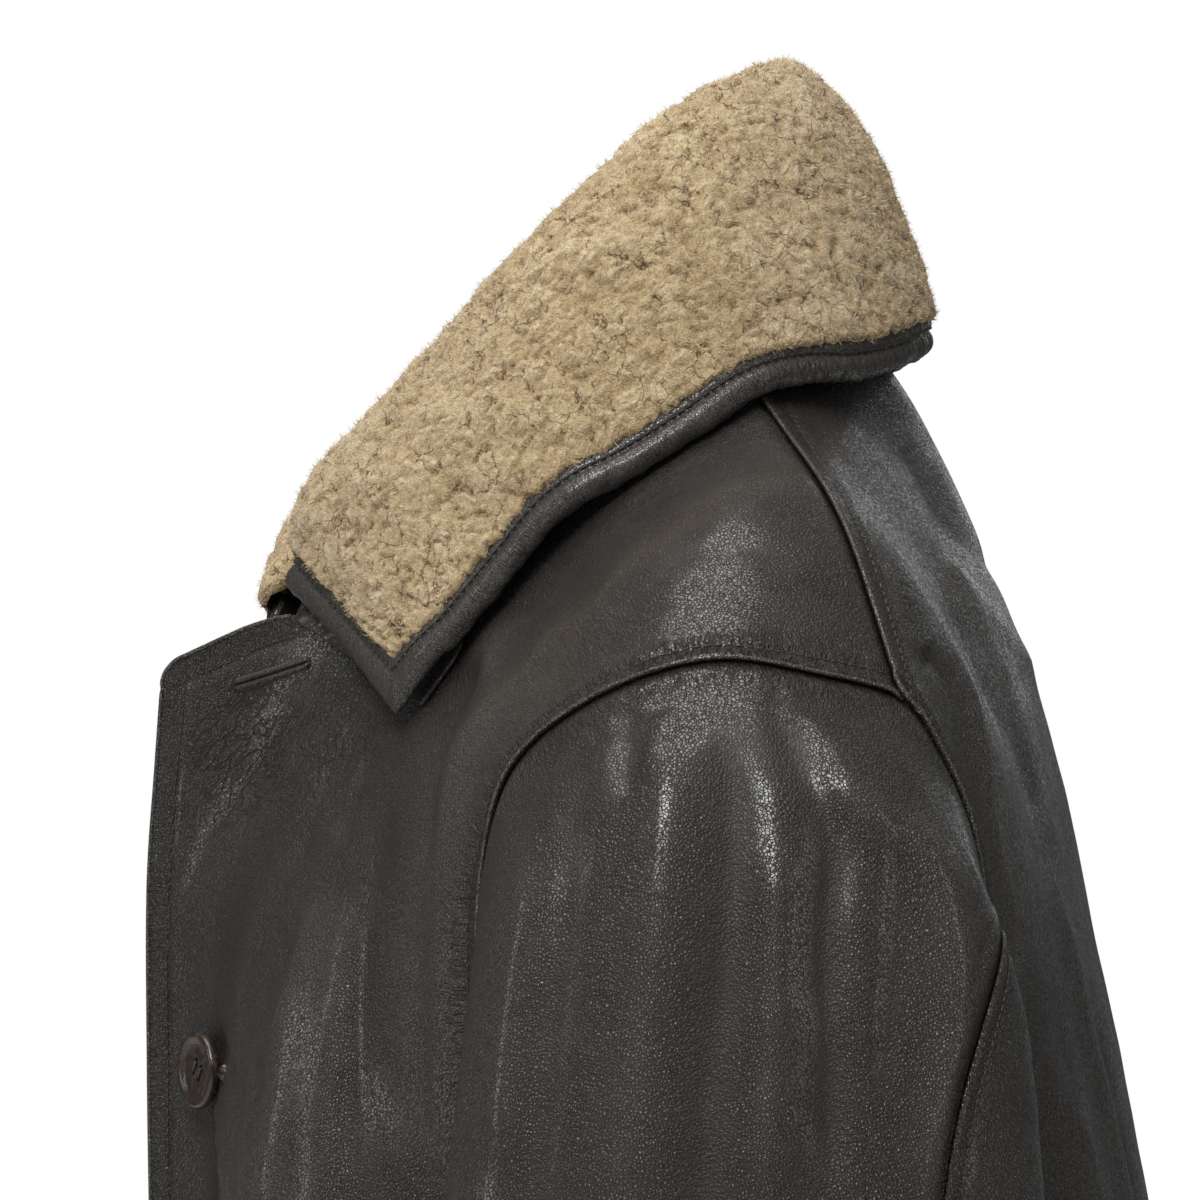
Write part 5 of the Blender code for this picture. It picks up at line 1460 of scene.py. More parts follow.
def border_frames():
    face, shares, _ = collar_face(COLLAR_CELLS, COLLAR_ACROSS)
    normals = grid_normals(face)
    depths = collar_depths(face, shares, ROLL_SHARE)
    start = sum(COLLAR_ACROSS[:2]) + 1

    def round_the_fall(values):
        return np.concatenate([values[0, start:-1], values[:, -1], values[-1, start:-1][::-1]])

    points, facing, depth = (round_the_fall(v) for v in (face, normals, depths))
    steps = unit(np.diff(points, axis=0))
    before = np.concatenate([steps[:1], steps])
    after = np.concatenate([steps, steps[-1:]])
    middle = unit(np.cross(before, facing)) + unit(np.cross(after, facing))
    size = np.linalg.norm(middle, axis=1, keepdims=True)
    away = middle / size
    wide = 1.0 / (size / 2.0) ** BORDER_POINT
    curl = (BORDER_CURL * np.clip(facing[:, 1], 0.0, 1.0) ** 2)[:, None]
    out = away * np.cos(curl) - facing * np.sin(curl)
    up = facing * np.cos(curl) + away * np.sin(curl)
    reach = wide * (BORDER_WIDTH / 2.0 + SEAM_GAP) + np.sin(curl) * BORDER_THICK / 2.0
    centres = points - facing * depth[:, None] * 0.5 + out * reach
    return centres, out * wide, up, face.shape[1] - 1 - start


def between(values, corner, cells):
    """Values along the border, smooth along each side of it and exact at the two points."""
    stops = (0, corner, len(values) - 1 - corner, len(values) - 1)
    parts = []
    for first, last in zip(stops[:-1], stops[1:]):
        span = values[first : last + 1]
        places = np.linspace(0.0, 1.0, (last - first) * cells + 1)
        parts.append(smooth(span, np.linspace(0.0, 1.0, len(span)), places)[(1 if first else 0) :])
    return np.concatenate(parts)


BORDER_CELLS = 16
border_centres, border_out, border_up, BORDER_CORNER = border_frames()
border_centres, border_out, border_up = (
    between(v, BORDER_CORNER, BORDER_CELLS) for v in (border_centres, border_out, border_up))
corner_rings = (BORDER_CORNER * BORDER_CELLS, len(border_centres) - 1 - BORDER_CORNER * BORDER_CELLS)
print("border", len(border_centres), "rings")

# %% Sweep the border
def border_grid():
    section = np.array(ROLL_SECTION + ROLL_SECTION[:1], float)
    section = smooth(section, chord_knots(section), np.linspace(0.0, 1.0, BORDER_SIDES + 1))[:-1]
    length = arc_length(border_centres)
    rings = []
    for i, (centre, out, up) in enumerate(zip(border_centres, border_out, border_up)):
        to_corner = min(abs(length[i] - length[c]) for c in corner_rings) * 1000.0
        across, high = section.T.copy()
        blunt = 1.0 + 0.03 * math.exp(-(to_corner / 6.0) ** 2) * eased(across / 13.0)
        flat = 1.0 - 0.35 * math.exp(-(to_corner / 16.0) ** 2)
        in_ends = 1.0 if corner_rings[0] < i < corner_rings[1] else 0.72
        high = high * flat * in_ends
        ripple = np.array([noise.noise(Vector((length[i] / 0.0052, a / 5.0, 2.0 if h > 0 else 8.0)))
                           for a, h in zip(across, high)])
        long_ripple = np.array([noise.noise(Vector((length[i] / 0.017, a / 9.0, 4.0))) for a in across])
        outer = eased((across - 5.0) / 4.0)
        back = eased((centre[1] - 0.035) / 0.05)
        gather = math.sin(length[i] / 0.0046 * math.tau + 2.2 * long_ripple[5])
        push = ripple * (0.14 + 0.62 * outer) + long_ripple * 0.70 * outer + gather * 0.55 * back
        mitre = -0.55 * math.exp(-(to_corner / 0.9) ** 2)
        scale = 1.0 + (push + mitre) / 6.5
        across = ((across - 5.4) * (0.25 + 0.75 * scale) + 5.4) * blunt
        high = high * scale
        rings.append(centre + out * (across[:, None] - BORDER_WIDTH * 500.0) / 1000.0
                     + up * high[:, None] / 1000.0)
    return np.array(rings), length


border_rings, border_length = border_grid()


def tube_faces(count, sides, start=0):
    """Faces between rings of points, and a cap on each end."""
    number = np.arange(count * sides).reshape(count, sides) + start
    beside = np.roll(number, -1, axis=1)
    faces = np.stack([number[:-1], beside[:-1], beside[1:], number[1:]], axis=-1).reshape(-1, 4).tolist()
    return faces + [number[0][::-1].tolist(), number[-1].tolist()]


around = np.arange(border_rings.shape[1])
border_wrinkle = np.stack([np.repeat(border_length * 1000.0, len(around)),
                           np.tile(around * 0.9, len(border_length)),
                           np.repeat(0.45 + 0.5 * eased((border_centres[:, 1] - 0.02) / 0.06), len(around))],
                          axis=1)
# The roll's colour is paler all over: partly wear, partly a painted sheen.
border = new_object("collar_border_roll", border_rings.reshape(-1, 3), tube_faces(*border_rings.shape[:2]),
                    (SMOOTH_LEATHER,), {"wrinkle": border_wrinkle, "wear_sheen_and_shade": np.full(len(border_wrinkle), 1.1)})
print("border", len(border.data.polygons), "faces")

# %% [markdown]
# ## Throat tab and bound buttonholes
# The tab is a strap under the collar point. The buttonholes are bound: two narrow lips of leather meet
# over the slit. Each is laid on the creased front by casting rays at it, so that it follows the folds.

# %% Lay a patch on a panel
def panel_tree(grid, keep=None):
    points = np.nan_to_num(grid.reshape(-1, 3), nan=9.0)
    quads = grid_quads(*grid.shape[:2], keep)
    return BVHTree.FromPolygons([tuple(p) for p in points], [tuple(q) for q in quads.tolist()])


def laid_on(tree, corners, normal, rows, columns):
    top_left, top_right, bottom_right, bottom_left = (Vector(c) for c in corners)
    normal = Vector(normal).normalized()
    grid = np.zeros((rows, columns, 3))
    for i, down in enumerate(np.linspace(0.0, 1.0, rows)):
        for j, right in enumerate(np.linspace(0.0, 1.0, columns)):
            start = top_left.lerp(top_right, right).lerp(bottom_left.lerp(bottom_right, right), down)
            hit = tree.ray_cast(start + normal * 0.06, -normal, 0.12)[0]
            grid[i, j] = hit if hit is not None else tree.find_nearest(start)[0]
    return grid


left_tree = panel_tree(left_face, FRONT_KEEP)
right_tree = panel_tree(right_face, FRONT_KEEP)
back_tree = panel_tree(back_face)

# %% The throat tab
TAB_THICK = 0.0018
TAB_WIDTH_MM = 31.0
TAB_LENGTH_MM = 52.0
TAB_STITCHED_ROWS = (6, 12, 59, 65)
TAB_CORNERS = ((0.0375, -0.1185, -0.0826), (0.0560, -0.0895, -0.0648),
               (0.0950, -0.0536, -0.0874), (0.0800, -0.0720, -0.1127))


def make_tab():
    rows, columns = 73, 45
    grid = laid_on(left_tree, TAB_CORNERS, (1.0, 0.0, 0.0), rows, columns)
    smoothed = grid.copy()
    for _ in range(14):
        smoothed[1:-1, 1:-1] = (smoothed[:-2, 1:-1] + smoothed[2:, 1:-1] + smoothed[1:-1, :-2]
                                + smoothed[1:-1, 2:]) / 4.0
    right, down = np.meshgrid(np.linspace(0.0, 1.0, columns), np.linspace(0.0, 1.0, rows))
    blunt = 1.0 - (1.0 - np.sqrt(np.clip(1.0 - (np.abs(down - 0.5) * 2.0) ** 6, 0.0, 1.0))) * 0.35
    place = right * blunt * (columns - 1)
    low = np.clip(place.astype(int), 0, columns - 2)
    share = (place - low)[..., None]
    line = np.arange(rows)[:, None]
    shaped = smoothed[line, low] * (1 - share) + smoothed[line, low + 1] * share
    from_edge = np.minimum(np.minimum(down, 1.0 - down) * TAB_WIDTH_MM, (1.0 - right) * TAB_LENGTH_MM)
    lift = 2.3 + 0.25 * eased(from_edge / 1.4) - 0.5 * np.exp(-((from_edge - 2.6) / 0.7) ** 2)
    lift -= 0.5 * np.exp(-((from_edge - 5.4) / 0.7) ** 2)
    quads = grid_quads(rows, columns, None, True)
    facing = vertex_normals(shaped.reshape(-1, 3), quads).reshape(shaped.shape)
    shaped = shaped + facing * lift[..., None] / 1000.0
    wall("collar_tab_strap", shaped, facing, TAB_THICK, (SMOOTH_LEATHER,), None, True,
         {"wrinkle": even_wrinkles(down * TAB_WIDTH_MM, right * 50.0, 0.5), "wear_sheen_and_shade": np.full(down.size, 0.3)})
    return shaped


tab_face = make_tab()

# %% Buttons and where they sit
BUTTON_RADIUS = 0.0140
BUTTON_THICK = 0.0042
BUTTON_HOLE_RADIUS = 0.0013
BUTTON_HOLE_SPREAD = 0.0031
BUTTON_HOLES = [(math.cos(turn) * BUTTON_HOLE_SPREAD, math.sin(turn) * BUTTON_HOLE_SPREAD)
                for turn in (math.pi / 4 + k * math.pi / 2 for k in range(4))]
BUTTON_TURN = 0.5
BUTTON_PROFILE = (
    # radius and height in millimetres, from the middle of the back to the middle of the front
    (0.0, 0.0), (12.6, 0.0), (13.5, 0.35), (13.95, 1.1), (14.0, 2.2), (13.9, 3.2), (13.4, 3.95),
    (12.7, 4.2), (11.8, 4.1), (10.9, 3.6), (10.2, 2.95), (9.3, 2.62), (7.0, 2.56), (0.0, 2.6),
)
WELT_SHOWN = 0.0110
WELT_WIDTH = 0.0046
WELT_THICK = 0.0008
WHIP_RADIUS = 0.00017
TOP_WELT = ((0.0300, -0.1432, -0.1060), (0.0370, -0.1115, -0.0980))
TOP_WELT_FACES = (0.90, -0.42, 0.10)


def node_points(name):
    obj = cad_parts[name]
    points = np.empty(len(obj.data.vertices) * 3)
    obj.data.vertices.foreach_get("co", points)
    world = np.array(obj.matrix_world)
    return points.reshape(-1, 3) @ world[:3, :3].T + world[:3, 3]


def button_place(number):
    """Centre of the back of a button of the frame, and the way that it faces."""
    points = node_points(f"button_{number}")
    middle = (points.min(axis=0) + points.max(axis=0)) / 2.0
    axis = np.linalg.svd(points - points.mean(axis=0), full_matrices=False)[2][2]
    outward = axis if axis[1] < 0 else -axis
    lowest = ((points - middle) @ outward).min()
    return Vector(middle + outward * lowest), Vector(outward).normalized()


NUMBERS = range(1, 6)
places = {k: button_place(k) for k in NUMBERS}
for k, (centre, outward) in places.items():
    print("button", k, [round(v, 4) for v in centre], [round(v, 3) for v in outward])

# %% A turned horn button
def horn_material():
    material, tree, shader, place = new_material("dark horn")
    grain = cloudy(tree, place, 160.0, 4.0, 2.4)
    tree.links.new(colour_mix(tree, ramp(tree, grain, 0.46, 0.72), (0.016, 0.011, 0.0085),
                              (0.052, 0.032, 0.019)), shader.inputs["Base Color"])
    tree.links.new(maths(tree, "MULTIPLY_ADD", grain, 0.16, 0.16), shader.inputs["Roughness"])
    bumped(tree, shader, cloudy(tree, place, 1400.0, 2.0), 0.08 * MILLIMETRE)
    return material


HORN = horn_material()


def button_mesh():
    sides = 64
    turn = np.linspace(0.0, math.tau, sides, endpoint=False)
    rings = [np.stack([radius * np.cos(turn), radius * np.sin(turn), np.full(sides, height)], axis=1)
             for radius, height in BUTTON_PROFILE[1:-1]]
    disc = new_object("button_blank", np.concatenate(rings) / 1000.0, tube_faces(len(rings), sides), (HORN,))
    cutters = []
    for hole in BUTTON_HOLES:
        bpy.ops.mesh.primitive_cylinder_add(vertices=20, radius=BUTTON_HOLE_RADIUS, depth=4 * BUTTON_THICK)
        cutter = bpy.context.object
        cutter.location = (*hole, 0.0)
        cut = disc.modifiers.new("hole", "BOOLEAN")
        cut.object = cutter
        cutters.append(cutter)
    bpy.context.view_layer.update()
    mesh = bpy.data.meshes.new_from_object(disc.evaluated_get(bpy.context.evaluated_depsgraph_get()))
    for obj in [*cutters, disc]:
        bpy.data.objects.remove(obj, do_unlink=True)
    mesh.shade_smooth()
    mesh.set_sharp_from_angle(angle=math.radians(38))
    return mesh


def button_turn(outward):
    side = Vector((0.0, 0.0, 1.0)).cross(outward).normalized()
    return Matrix((side, outward.cross(side), outward)).transposed().to_4x4()


turned = button_mesh()
for k, (centre, outward) in places.items():
    mesh = turned.copy()
    mesh.transform(Matrix.Rotation(BUTTON_TURN * k, 4, "Z"))
    mesh.transform(Matrix.Translation(centre) @ button_turn(outward))
    bpy.context.scene.collection.objects.link(bpy.data.objects.new(f"button_{k}_turned", mesh))
print("a button has", len(turned.polygons), "faces")

# %% Capsules for stitches and thread
def capsules(name, ends, radius, material, ups, bow=0.0, sides=5):
    """Short rounded rods from one end to the other, joined in one mesh."""
    ends = np.asarray(ends, float)
    count = len(ends)
    axis = ends[:, 1] - ends[:, 0]
    length = np.linalg.norm(axis, axis=1, keepdims=True)
    axis = axis / length
    side = unit(np.cross(axis, ups))
    up = np.cross(side, axis)
    turn = np.linspace(0.0, math.tau, sides, endpoint=False)
    rings = []
    for share, wide in ((0.0, 0.4), (0.15, 1.0), (0.85, 1.0), (1.0, 0.4)):
        lift = up * (bow * 4.0 * share * (1.0 - share))
        centre = ends[:, 0] + axis * length * share + lift
        for angle in turn:
            rings.append(centre + (side * math.cos(angle) + up * math.sin(angle)) * radius * wide)
    points = np.stack(rings, axis=1).reshape(-1, 3)
    each = 4 * sides
    faces = np.array(tube_faces(4, sides)[:-2])
    faces = (faces[None] + np.arange(count)[:, None, None] * each).reshape(-1, 4)
    caps = [tuple(np.arange(sides)[::-1] + i * each) for i in range(count)]
    caps += [tuple(np.arange(sides) + 3 * sides + i * each) for i in range(count)]
    return new_object(name, points, [*map(tuple, faces.tolist()), *caps], (material,))


def thread_material(name, colour, light):
    material, tree, shader, place = new_material(name)
    twist = node(tree, "ShaderNodeTexWave", {"Vector": place, "Scale": 900.0, "Distortion": 1.0},
                 bands_direction="DIAGONAL").outputs["Fac"]
    tree.links.new(colour_mix(tree, twist, colour, light), shader.inputs["Base Color"])
    bumped(tree, shader, twist, 0.06 * MILLIMETRE)
    shader.inputs["Roughness"].default_value = 0.55
    return material


THREAD = thread_material("black thread", (0.012, 0.011, 0.010), (0.030, 0.027, 0.025))
BROWN_THREAD = thread_material("brown thread", (0.16, 0.10, 0.055), (0.30, 0.20, 0.12))

# %% [markdown]
# ## Stitches
# A row of stitches is a row of short dashes with a gap between them. Each is a small rounded rod of
# thread, sunk halfway into its groove. The rows are placed by walking along the seam, stepping aside by
# the stitch distance and dropping onto the creased panel. All of them are joined into a few meshes.

# %% Turned edges
EDGE_SIDES = 8


def edge_roll(points, normals, radius, sign=1.0):
    """Rings of a thin roll along an edge, one radius below its outer face."""
    points = np.asarray(points)
    tangents = unit(np.gradient(points, axis=0))
    up = unit(normals - tangents * (normals * tangents).sum(axis=1, keepdims=True))
    side = np.cross(tangents, up)
    turn = np.linspace(0.0, math.tau, EDGE_SIDES, endpoint=False)
    centre = points - up * radius * 0.25
    rings = centre[:, None] + (side[:, None] * np.cos(turn)[None, :, None]
                               + up[:, None] * np.sin(turn)[None, :, None]) * radius
    return rings * (sign, 1.0, 1.0)


def joined_rolls(name, rolls, material):
    points, faces, along = [], [], []
    start = 0
    for rings in rolls:
        count, sides = rings.shape[:2]
        faces += tube_faces(count, sides, start)
        points.append(rings.reshape(-1, 3))
        along.append(np.repeat(np.arange(count) * 3.0 + start, sides))
        start += count * sides
    along = np.concatenate(along)
    # The rolls are coloured much paler: partly wear, partly a painted sheen on the turned edges.
    return new_object(name, np.concatenate(points), faces, (material,),
                      {"wrinkle": even_wrinkles(along, 0.0 * along, 0.4), "wear_sheen_and_shade": np.full(len(along), 2.6)})


EDGE_ROLL = 0.00075
rolls = []
for face, normals, sign in ((left_face, left_normals, 1.0), (right_face, left_normals, -1.0)):
    rolls.append(edge_roll(face[:ARMHOLE_ROWS, -1], normals[:ARMHOLE_ROWS, -1], EDGE_ROLL, sign))
    front_normals = left_normals if sign > 0 else right_normals
    outline = np.concatenate([face[SHOULDER_CELLS, OVERLAP_CELLS - 1 : 0 : -1], face[SHOULDER_CELLS:, 0]])
    outline_normals = np.concatenate([front_normals[SHOULDER_CELLS, OVERLAP_CELLS - 1 : 0 : -1],
                                      front_normals[SHOULDER_CELLS:, 0]])
    rolls.append(edge_roll(outline, outline_normals, EDGE_ROLL * 1.1, sign))
for column in (0, -1):
    rolls.append(edge_roll(back_face[:BACK_ARMHOLE_ROWS, column], back_normals[:BACK_ARMHOLE_ROWS, column],
                           EDGE_ROLL))
rolls.append(edge_roll(back_face[0, SHOULDER + 3 :], back_normals[0, SHOULDER + 3 :], EDGE_ROLL))
rolls.append(edge_roll(back_face[0, : CHEST_CELLS - 2], back_normals[0, : CHEST_CELLS - 2], EDGE_ROLL))
turned_edges = joined_rolls("turned_edges", rolls, BODY_LEATHER)
print("turned edges", len(turned_edges.data.polygons), "faces")

# %% Walk beside a seam
STITCH_PITCH = 0.0036
STITCH_LONG = 0.0027
STITCH_RAISED = 0.00012
STITCH_RADIUS = 0.00034
stitch_ends, stitch_ups = [], []


def stitch_row(tree, line, aside_mm, sign=1.0, skip=(0.004, 0.004)):
    """Stitches on the panel of the tree, beside a line on its edge. sign -1 mirrors them to the right."""
    aside = aside_mm / 1000.0
    length = arc_length(line)
    at = np.arange(skip[0], length[-1] - skip[1], STITCH_PITCH)
    points, ahead, behind = (points_at(line, length, at + shift) for shift in (0.0, 0.004, -0.004))
    tangents = unit(ahead - behind)
    found = []
    for point, tangent in zip(points, tangents):
        _, normal, _, _ = tree.find_nearest(Vector(point))
        aside_way = Vector(tangent).cross(normal).normalized()
        tries = [(tree.find_nearest(Vector(point) + aside_way * aside * way), way) for way in (1.0, -1.0)]
        off = [(hit[0] - (Vector(point) + aside_way * aside * way)).length for hit, way in tries]
        hit = tries[int(off[1] < off[0])][0]
        found.append((np.array(hit[0]), np.array(hit[1]), tangent))
    for place, normal, tangent in found:
        normal = normal * np.sign(normal @ (place - (0.0, 0.0, place[2])) + 1e-9)
        tangent = tangent - normal * (tangent @ normal)
        tangent /= np.linalg.norm(tangent)
        middle = place + normal * STITCH_RAISED
        ends = np.array([middle - tangent * STITCH_LONG / 2, middle + tangent * STITCH_LONG / 2])
        stitch_ends.append(ends * (sign, 1.0, 1.0))
        stitch_ups.append(normal * (sign, 1.0, 1.0))


for tree, grid, sign in ((left_tree, left_front, 1.0), (right_tree, right_front, -1.0)):
    stitch_row(tree, left_front[:ARMHOLE_ROWS, -1], ARMHOLE_STITCH, sign)
    stitch_row(tree, grid[SHOULDER_CELLS:, 0], EDGE_STITCH, sign, skip=(0.009, 0.010))
    stitch_row(tree, grid[SHOULDER_CELLS, : OVERLAP_CELLS + 1], EDGE_STITCH, sign, skip=(0.009, 0.002))
    stitch_row(tree, grid[-1], HEM_STITCH, sign, skip=(0.010, 0.002))
for turn in (np.asarray, mirrored):
    stitch_row(back_tree, turn(back_half[:BACK_ARMHOLE_ROWS, -1]), ARMHOLE_STITCH)
    stitch_row(back_tree, turn(left_front[0, OVERLAP_CELLS:]), SHOULDER_STITCH)
stitch_row(back_tree, whole_back[-1], HEM_STITCH)
print("stitches on the body", len(stitch_ends))

# %% Stitches on the sleeves and the border
under_tree = panel_tree(sleeves["under", 1][1])
top_tree = panel_tree(sleeves["top", 1][1])
for sign in (1.0, -1.0):
    stitch_row(under_tree, top_sleeve[:, -1], SLEEVE_STITCH, sign, skip=(0.012, 0.003))
    stitch_row(under_tree, under_sleeve[-1], CUFF_STITCH, sign, skip=(0.002, 0.002))
    stitch_row(top_tree, top_sleeve[-1], CUFF_STITCH, sign, skip=(0.002, 0.002))
groove_line = border_rings[:, BORDER_GROOVE]
groove_at = np.arange(0.004, border_length[-1] - 0.004, STITCH_PITCH)
groove_points = points_at(groove_line, border_length, groove_at)
groove_next = points_at(groove_line, border_length, groove_at + STITCH_LONG * 0.9)
groove_up = points_at(border_up, border_length, groove_at)
for start, end, up in zip(groove_points, groove_next, groove_up):
    stitch_ends.append(np.array([start, end]) + up * 0.00022)
    stitch_ups.append(up)
for line in tab_face[list(TAB_STITCHED_ROWS)]:
    length = arc_length(line)
    for at in np.arange(0.004, length[-1] - 0.005, STITCH_PITCH):
        ends = points_at(line, length, np.array([at, at + STITCH_LONG]))
        stitch_ends.append(ends + (0.00016, 0.0, 0.0))
        stitch_ups.append(np.array((1.0, 0.0, 0.1)))
seam_stitches = capsules("seam_stitches", stitch_ends, STITCH_RADIUS, THREAD, stitch_ups)
print("stitches", len(stitch_ends), "with", len(seam_stitches.data.polygons), "faces")

# %% Bound buttonholes
def make_welt(number):
    if number == 1:
        start, end = (Vector(p) for p in TOP_WELT)
        outward = Vector(TOP_WELT_FACES).normalized()
    else:
        centre, outward = places[number]
        along = outward.cross(Vector((0.0, 0.0, -1.0))).normalized()
        start = centre + along * (BUTTON_RADIUS + 0.0008)
        end = start + along * WELT_SHOWN
    long = (end - start).length
    half = outward.cross((end - start).normalized()) * WELT_WIDTH / 2.0
    corners = (start + half, end + half, end - half, start - half)
    rows, columns = 25, 13 + 2 * int(long * 1000 * 0.8)
    grid = laid_on(left_tree, corners, outward, rows, columns)
    along, across = np.meshgrid(np.linspace(0.0, 1.0, columns) * long * 1000.0, np.linspace(-1.0, 1.0, rows))
    to_end = np.minimum(along, long * 1000.0 - along)
    round_end = np.sqrt(np.clip(to_end / 1.9, 0.0, 1.0))
    lips = 1.25 * np.sqrt(np.clip(1.0 - ((np.abs(across) - 0.52) / 0.47) ** 2, 0.0, 1.0))
    lift = 0.55 + lips * eased(to_end / 1.2)
    middle = grid[rows // 2][None]
    grid = middle + (grid - middle) * (0.35 + 0.65 * round_end)[..., None]
    outward = np.array(outward)
    grid = grid + outward * lift[..., None] / 1000.0
    facing = np.broadcast_to(outward, grid.shape).copy()
    # The welt's colour: painted shade along the slit between the lips, and a paler colour towards the outer
    # edges.
    wall(f"buttonhole_{number}_welts", grid, facing, WELT_THICK, (SMOOTH_LEATHER,), None, True,
         {"wrinkle": even_wrinkles(along, across * 2, 0.35),
          "wear_sheen_and_shade": (np.abs(across) * 1.6 - 1.0).clip(-1.0, 0.4).ravel()})
    whips = []
    for row in (0, rows - 1):
        for j in range(3, columns - 3, 2):
            edge = grid[row, j]
            inwards = grid[rows // 2, j] - edge
            whips.append(np.array([edge + inwards * 0.12 + outward * 0.0003,
                                   edge - inwards * 0.18 - outward * 0.0006]))
    return whips, outward


whip_ends, whip_ups = [], []
for k in NUMBERS:
    whips, outward = make_welt(k)
    whip_ends += whips
    whip_ups += [outward] * len(whips)
capsules("buttonhole_stitches", whip_ends, WHIP_RADIUS, BROWN_THREAD, whip_ups)
print("whipping stitches", len(whip_ends))

# %% The thread in the buttons
THREAD_HEIGHT = 0.0028
thread_ends, thread_ups = [], []
for k, (centre, outward) in places.items():
    turn = button_turn(outward) @ Matrix.Rotation(BUTTON_TURN * k, 4, "Z")
    holes = [turn @ Vector((*hole, THREAD_HEIGHT)) for hole in BUTTON_HOLES]
    for a, b in ((0, 1), (2, 3)):
        for shift in (-0.00035, 0.0, 0.00035):
            sidewards = (holes[b] - holes[a]).cross(outward).normalized() * shift
            thread_ends.append([centre + holes[a] + sidewards, centre + holes[b] + sidewards])
            thread_ups.append(outward)
    for hole in holes:
        thread_ends.append([centre + hole, centre + hole - outward * 0.0038])
        thread_ups.append(Vector((0.0, 0.0, 1.0)))
capsules("button_thread", thread_ends, STITCH_RADIUS, THREAD, thread_ups, bow=0.00025)

# %% [markdown]
# ## Pieces, sheets and the frame
# Every piece rides on the coat's one body and stands for its solids. The size that each leather panel
# was cut to before it was sewn is listed in a table and printed beside its measured area.

# %% What stands for what
STANDS_FOR = {
    "collar_pelt": "collar_fur", "collar_under_leather": "collar_under",
    "collar_border_roll": "collar_border", "collar_tab_strap": "collar_tab",
    **{f"{name}_hide": name for name in (
        "front_left", "front_right", "back", "sleeve_top_left", "sleeve_top_right", "sleeve_under_left",
        "sleeve_under_right")},
    **{f"buttonhole_{k}_welts": f"buttonhole_{k}" for k in NUMBERS},
    **{f"button_{k}_turned": f"button_{k}" for k in NUMBERS},
}
WOOL_PIECES = ("collar_wool", "collar_strands_a", "collar_strands_b")


def own_pieces():
    return [obj for obj in bpy.context.scene.collection.all_objects
            if obj.type == "MESH" and obj.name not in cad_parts]


for obj in own_pieces():
    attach(obj, "root")
    if obj.name in STANDS_FOR:
        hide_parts(STANDS_FOR[obj.name])
print("pieces", len(own_pieces()))

# %% Flat sizes
def sheet_area(obj):
    mesh = obj.data
    area = np.empty(len(mesh.polygons))
    mesh.polygons.foreach_get("area", area)
    return area.sum() / 2.0


SHEETS = {
    # piece: flat width and length, flat area of the cut
    "front_left_hide": ((0.40, 0.92), 0.280, ["seam_stitches", "turned_edges", "armhole_left_tape"]),
    "front_right_hide": ((0.40, 0.92), 0.292, ["armhole_right_tape"]),
    "back_hide": ((0.62, 0.92), 0.530, []),
    "sleeve_top_left_hide": ((0.24, 0.66), 0.116, []),
    "sleeve_top_right_hide": ((0.24, 0.66), 0.116, []),
    "sleeve_under_left_hide": ((0.26, 0.58), 0.110, []),
    "sleeve_under_right_hide": ((0.26, 0.58), 0.110, []),
    "collar_pelt": ((0.20, 0.66), 0.095, list(WOOL_PIECES)),
    "collar_under_leather": ((0.20, 0.62), 0.090, []),
    "collar_tab_strap": ((0.040, 0.064), 0.0023, []),
}
for name, (flat, area, _) in SHEETS.items():
    print("sheet", name, "flat", flat, "area", area, "measured", round(sheet_area(bpy.data.objects[name]), 4))

# %% [markdown]
# ## Camera, light and floor
# The photograph looks straight at the wearer's left side from a few metres away, against white. The
# camera does the same. Large soft lights above and on both sides draw broad highlights on the leather.

# %% Camera
camera = bpy.data.objects.new("camera", bpy.data.cameras.new("camera"))
SENSOR_MM = 36.0
camera.data.sensor_width = SENSOR_MM
camera.data.lens = SENSOR_MM * EYE.x / (2.0 * HALF_VIEW * UNIT)
camera.location = EYE
camera.rotation_euler = Vector((1.0, 0.0, 0.0)).to_track_quat("Z", "Y").to_euler()
bpy.context.scene.collection.objects.link(camera)
bpy.context.scene.camera = camera

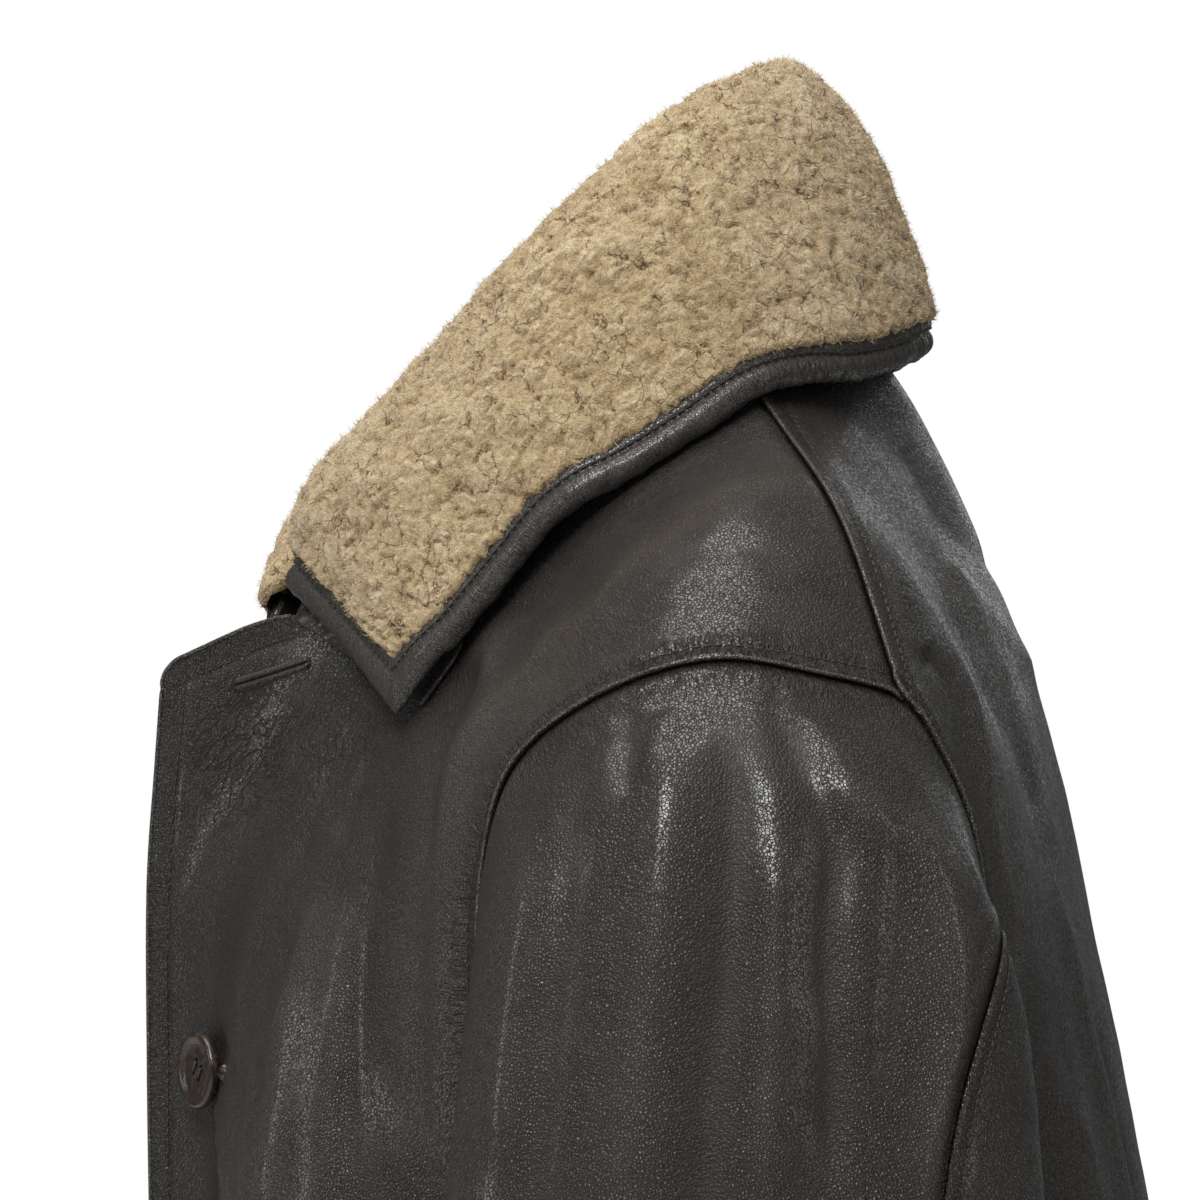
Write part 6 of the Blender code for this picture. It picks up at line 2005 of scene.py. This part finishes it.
# %% Lights
CENTRE = (0.10, 0.0, -0.15)
LIGHTS = (
    # name, place, size, watts; all look at the centre
    ("key", (2.0, -0.6, 1.55), (1.1, 1.1), 58.0),
    ("overhead", (0.4, -0.4, 2.3), (2.2, 2.0), 64.0),
    ("front side", (0.7, -2.5, 0.4), (0.6, 1.4), 10.0),
    ("back side", (1.7, 2.2, 0.8), (0.9, 1.2), 8.0),
    ("far side", (-2.4, 0.3, 1.0), (2.0, 2.0), 9.0),
)
for name, place, size, watts in LIGHTS:
    lamp = bpy.data.lights.new(name, "AREA")
    lamp.shape = "RECTANGLE"
    lamp.size, lamp.size_y = size
    lamp.energy = watts
    obj = bpy.data.objects.new(name, lamp)
    obj.location = place
    obj.rotation_euler = (Vector(place) - Vector(CENTRE)).to_track_quat("Z", "Y").to_euler()
    bpy.context.scene.collection.objects.link(obj)
print("soft lights", len(LIGHTS))

# %% White surroundings
world = bpy.data.worlds.new("studio")
world.use_nodes = True
bpy.context.scene.world = world
tree = world.node_tree
tree.nodes.clear()
seen = node(tree, "ShaderNodeBackground", {"Color": (1.0, 1.0, 1.0, 1.0), "Strength": 1.0})
around_light = node(tree, "ShaderNodeBackground", {"Color": (0.97, 0.99, 1.0, 1.0), "Strength": 0.13})
mixed = node(tree, "ShaderNodeMixShader", {0: node(tree, "ShaderNodeLightPath").outputs["Is Camera Ray"],
                                           1: around_light.outputs[0], 2: seen.outputs[0]})
tree.links.new(mixed.outputs[0], node(tree, "ShaderNodeOutputWorld").inputs["Surface"])
bpy.context.scene.view_settings.view_transform = "Standard"

# %% Pale floor
floor_material, tree, shader, place = new_material("pale floor")
tree.links.new(colour_mix(tree, cloudy(tree, place, 3.0, 2.0), (0.80, 0.80, 0.80), (0.84, 0.84, 0.84)),
               shader.inputs["Base Color"])
shader.inputs["Roughness"].default_value = 0.9
FLOOR_Z = -0.95
FLOOR_REACH = 6.0
corners = [(x * FLOOR_REACH, y * FLOOR_REACH, FLOOR_Z) for x, y in ((-1, -1), (1, -1), (1, 1), (-1, 1))]
floor = new_object("floor", corners, [(0, 1, 2, 3)], (floor_material,))

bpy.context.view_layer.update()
counts = {obj.name: sum(len(face.vertices) - 2 for face in obj.data.polygons) for obj in own_pieces()}
print("triangles", sum(counts.values()), "most in", max(counts, key=counts.get), max(counts.values()))
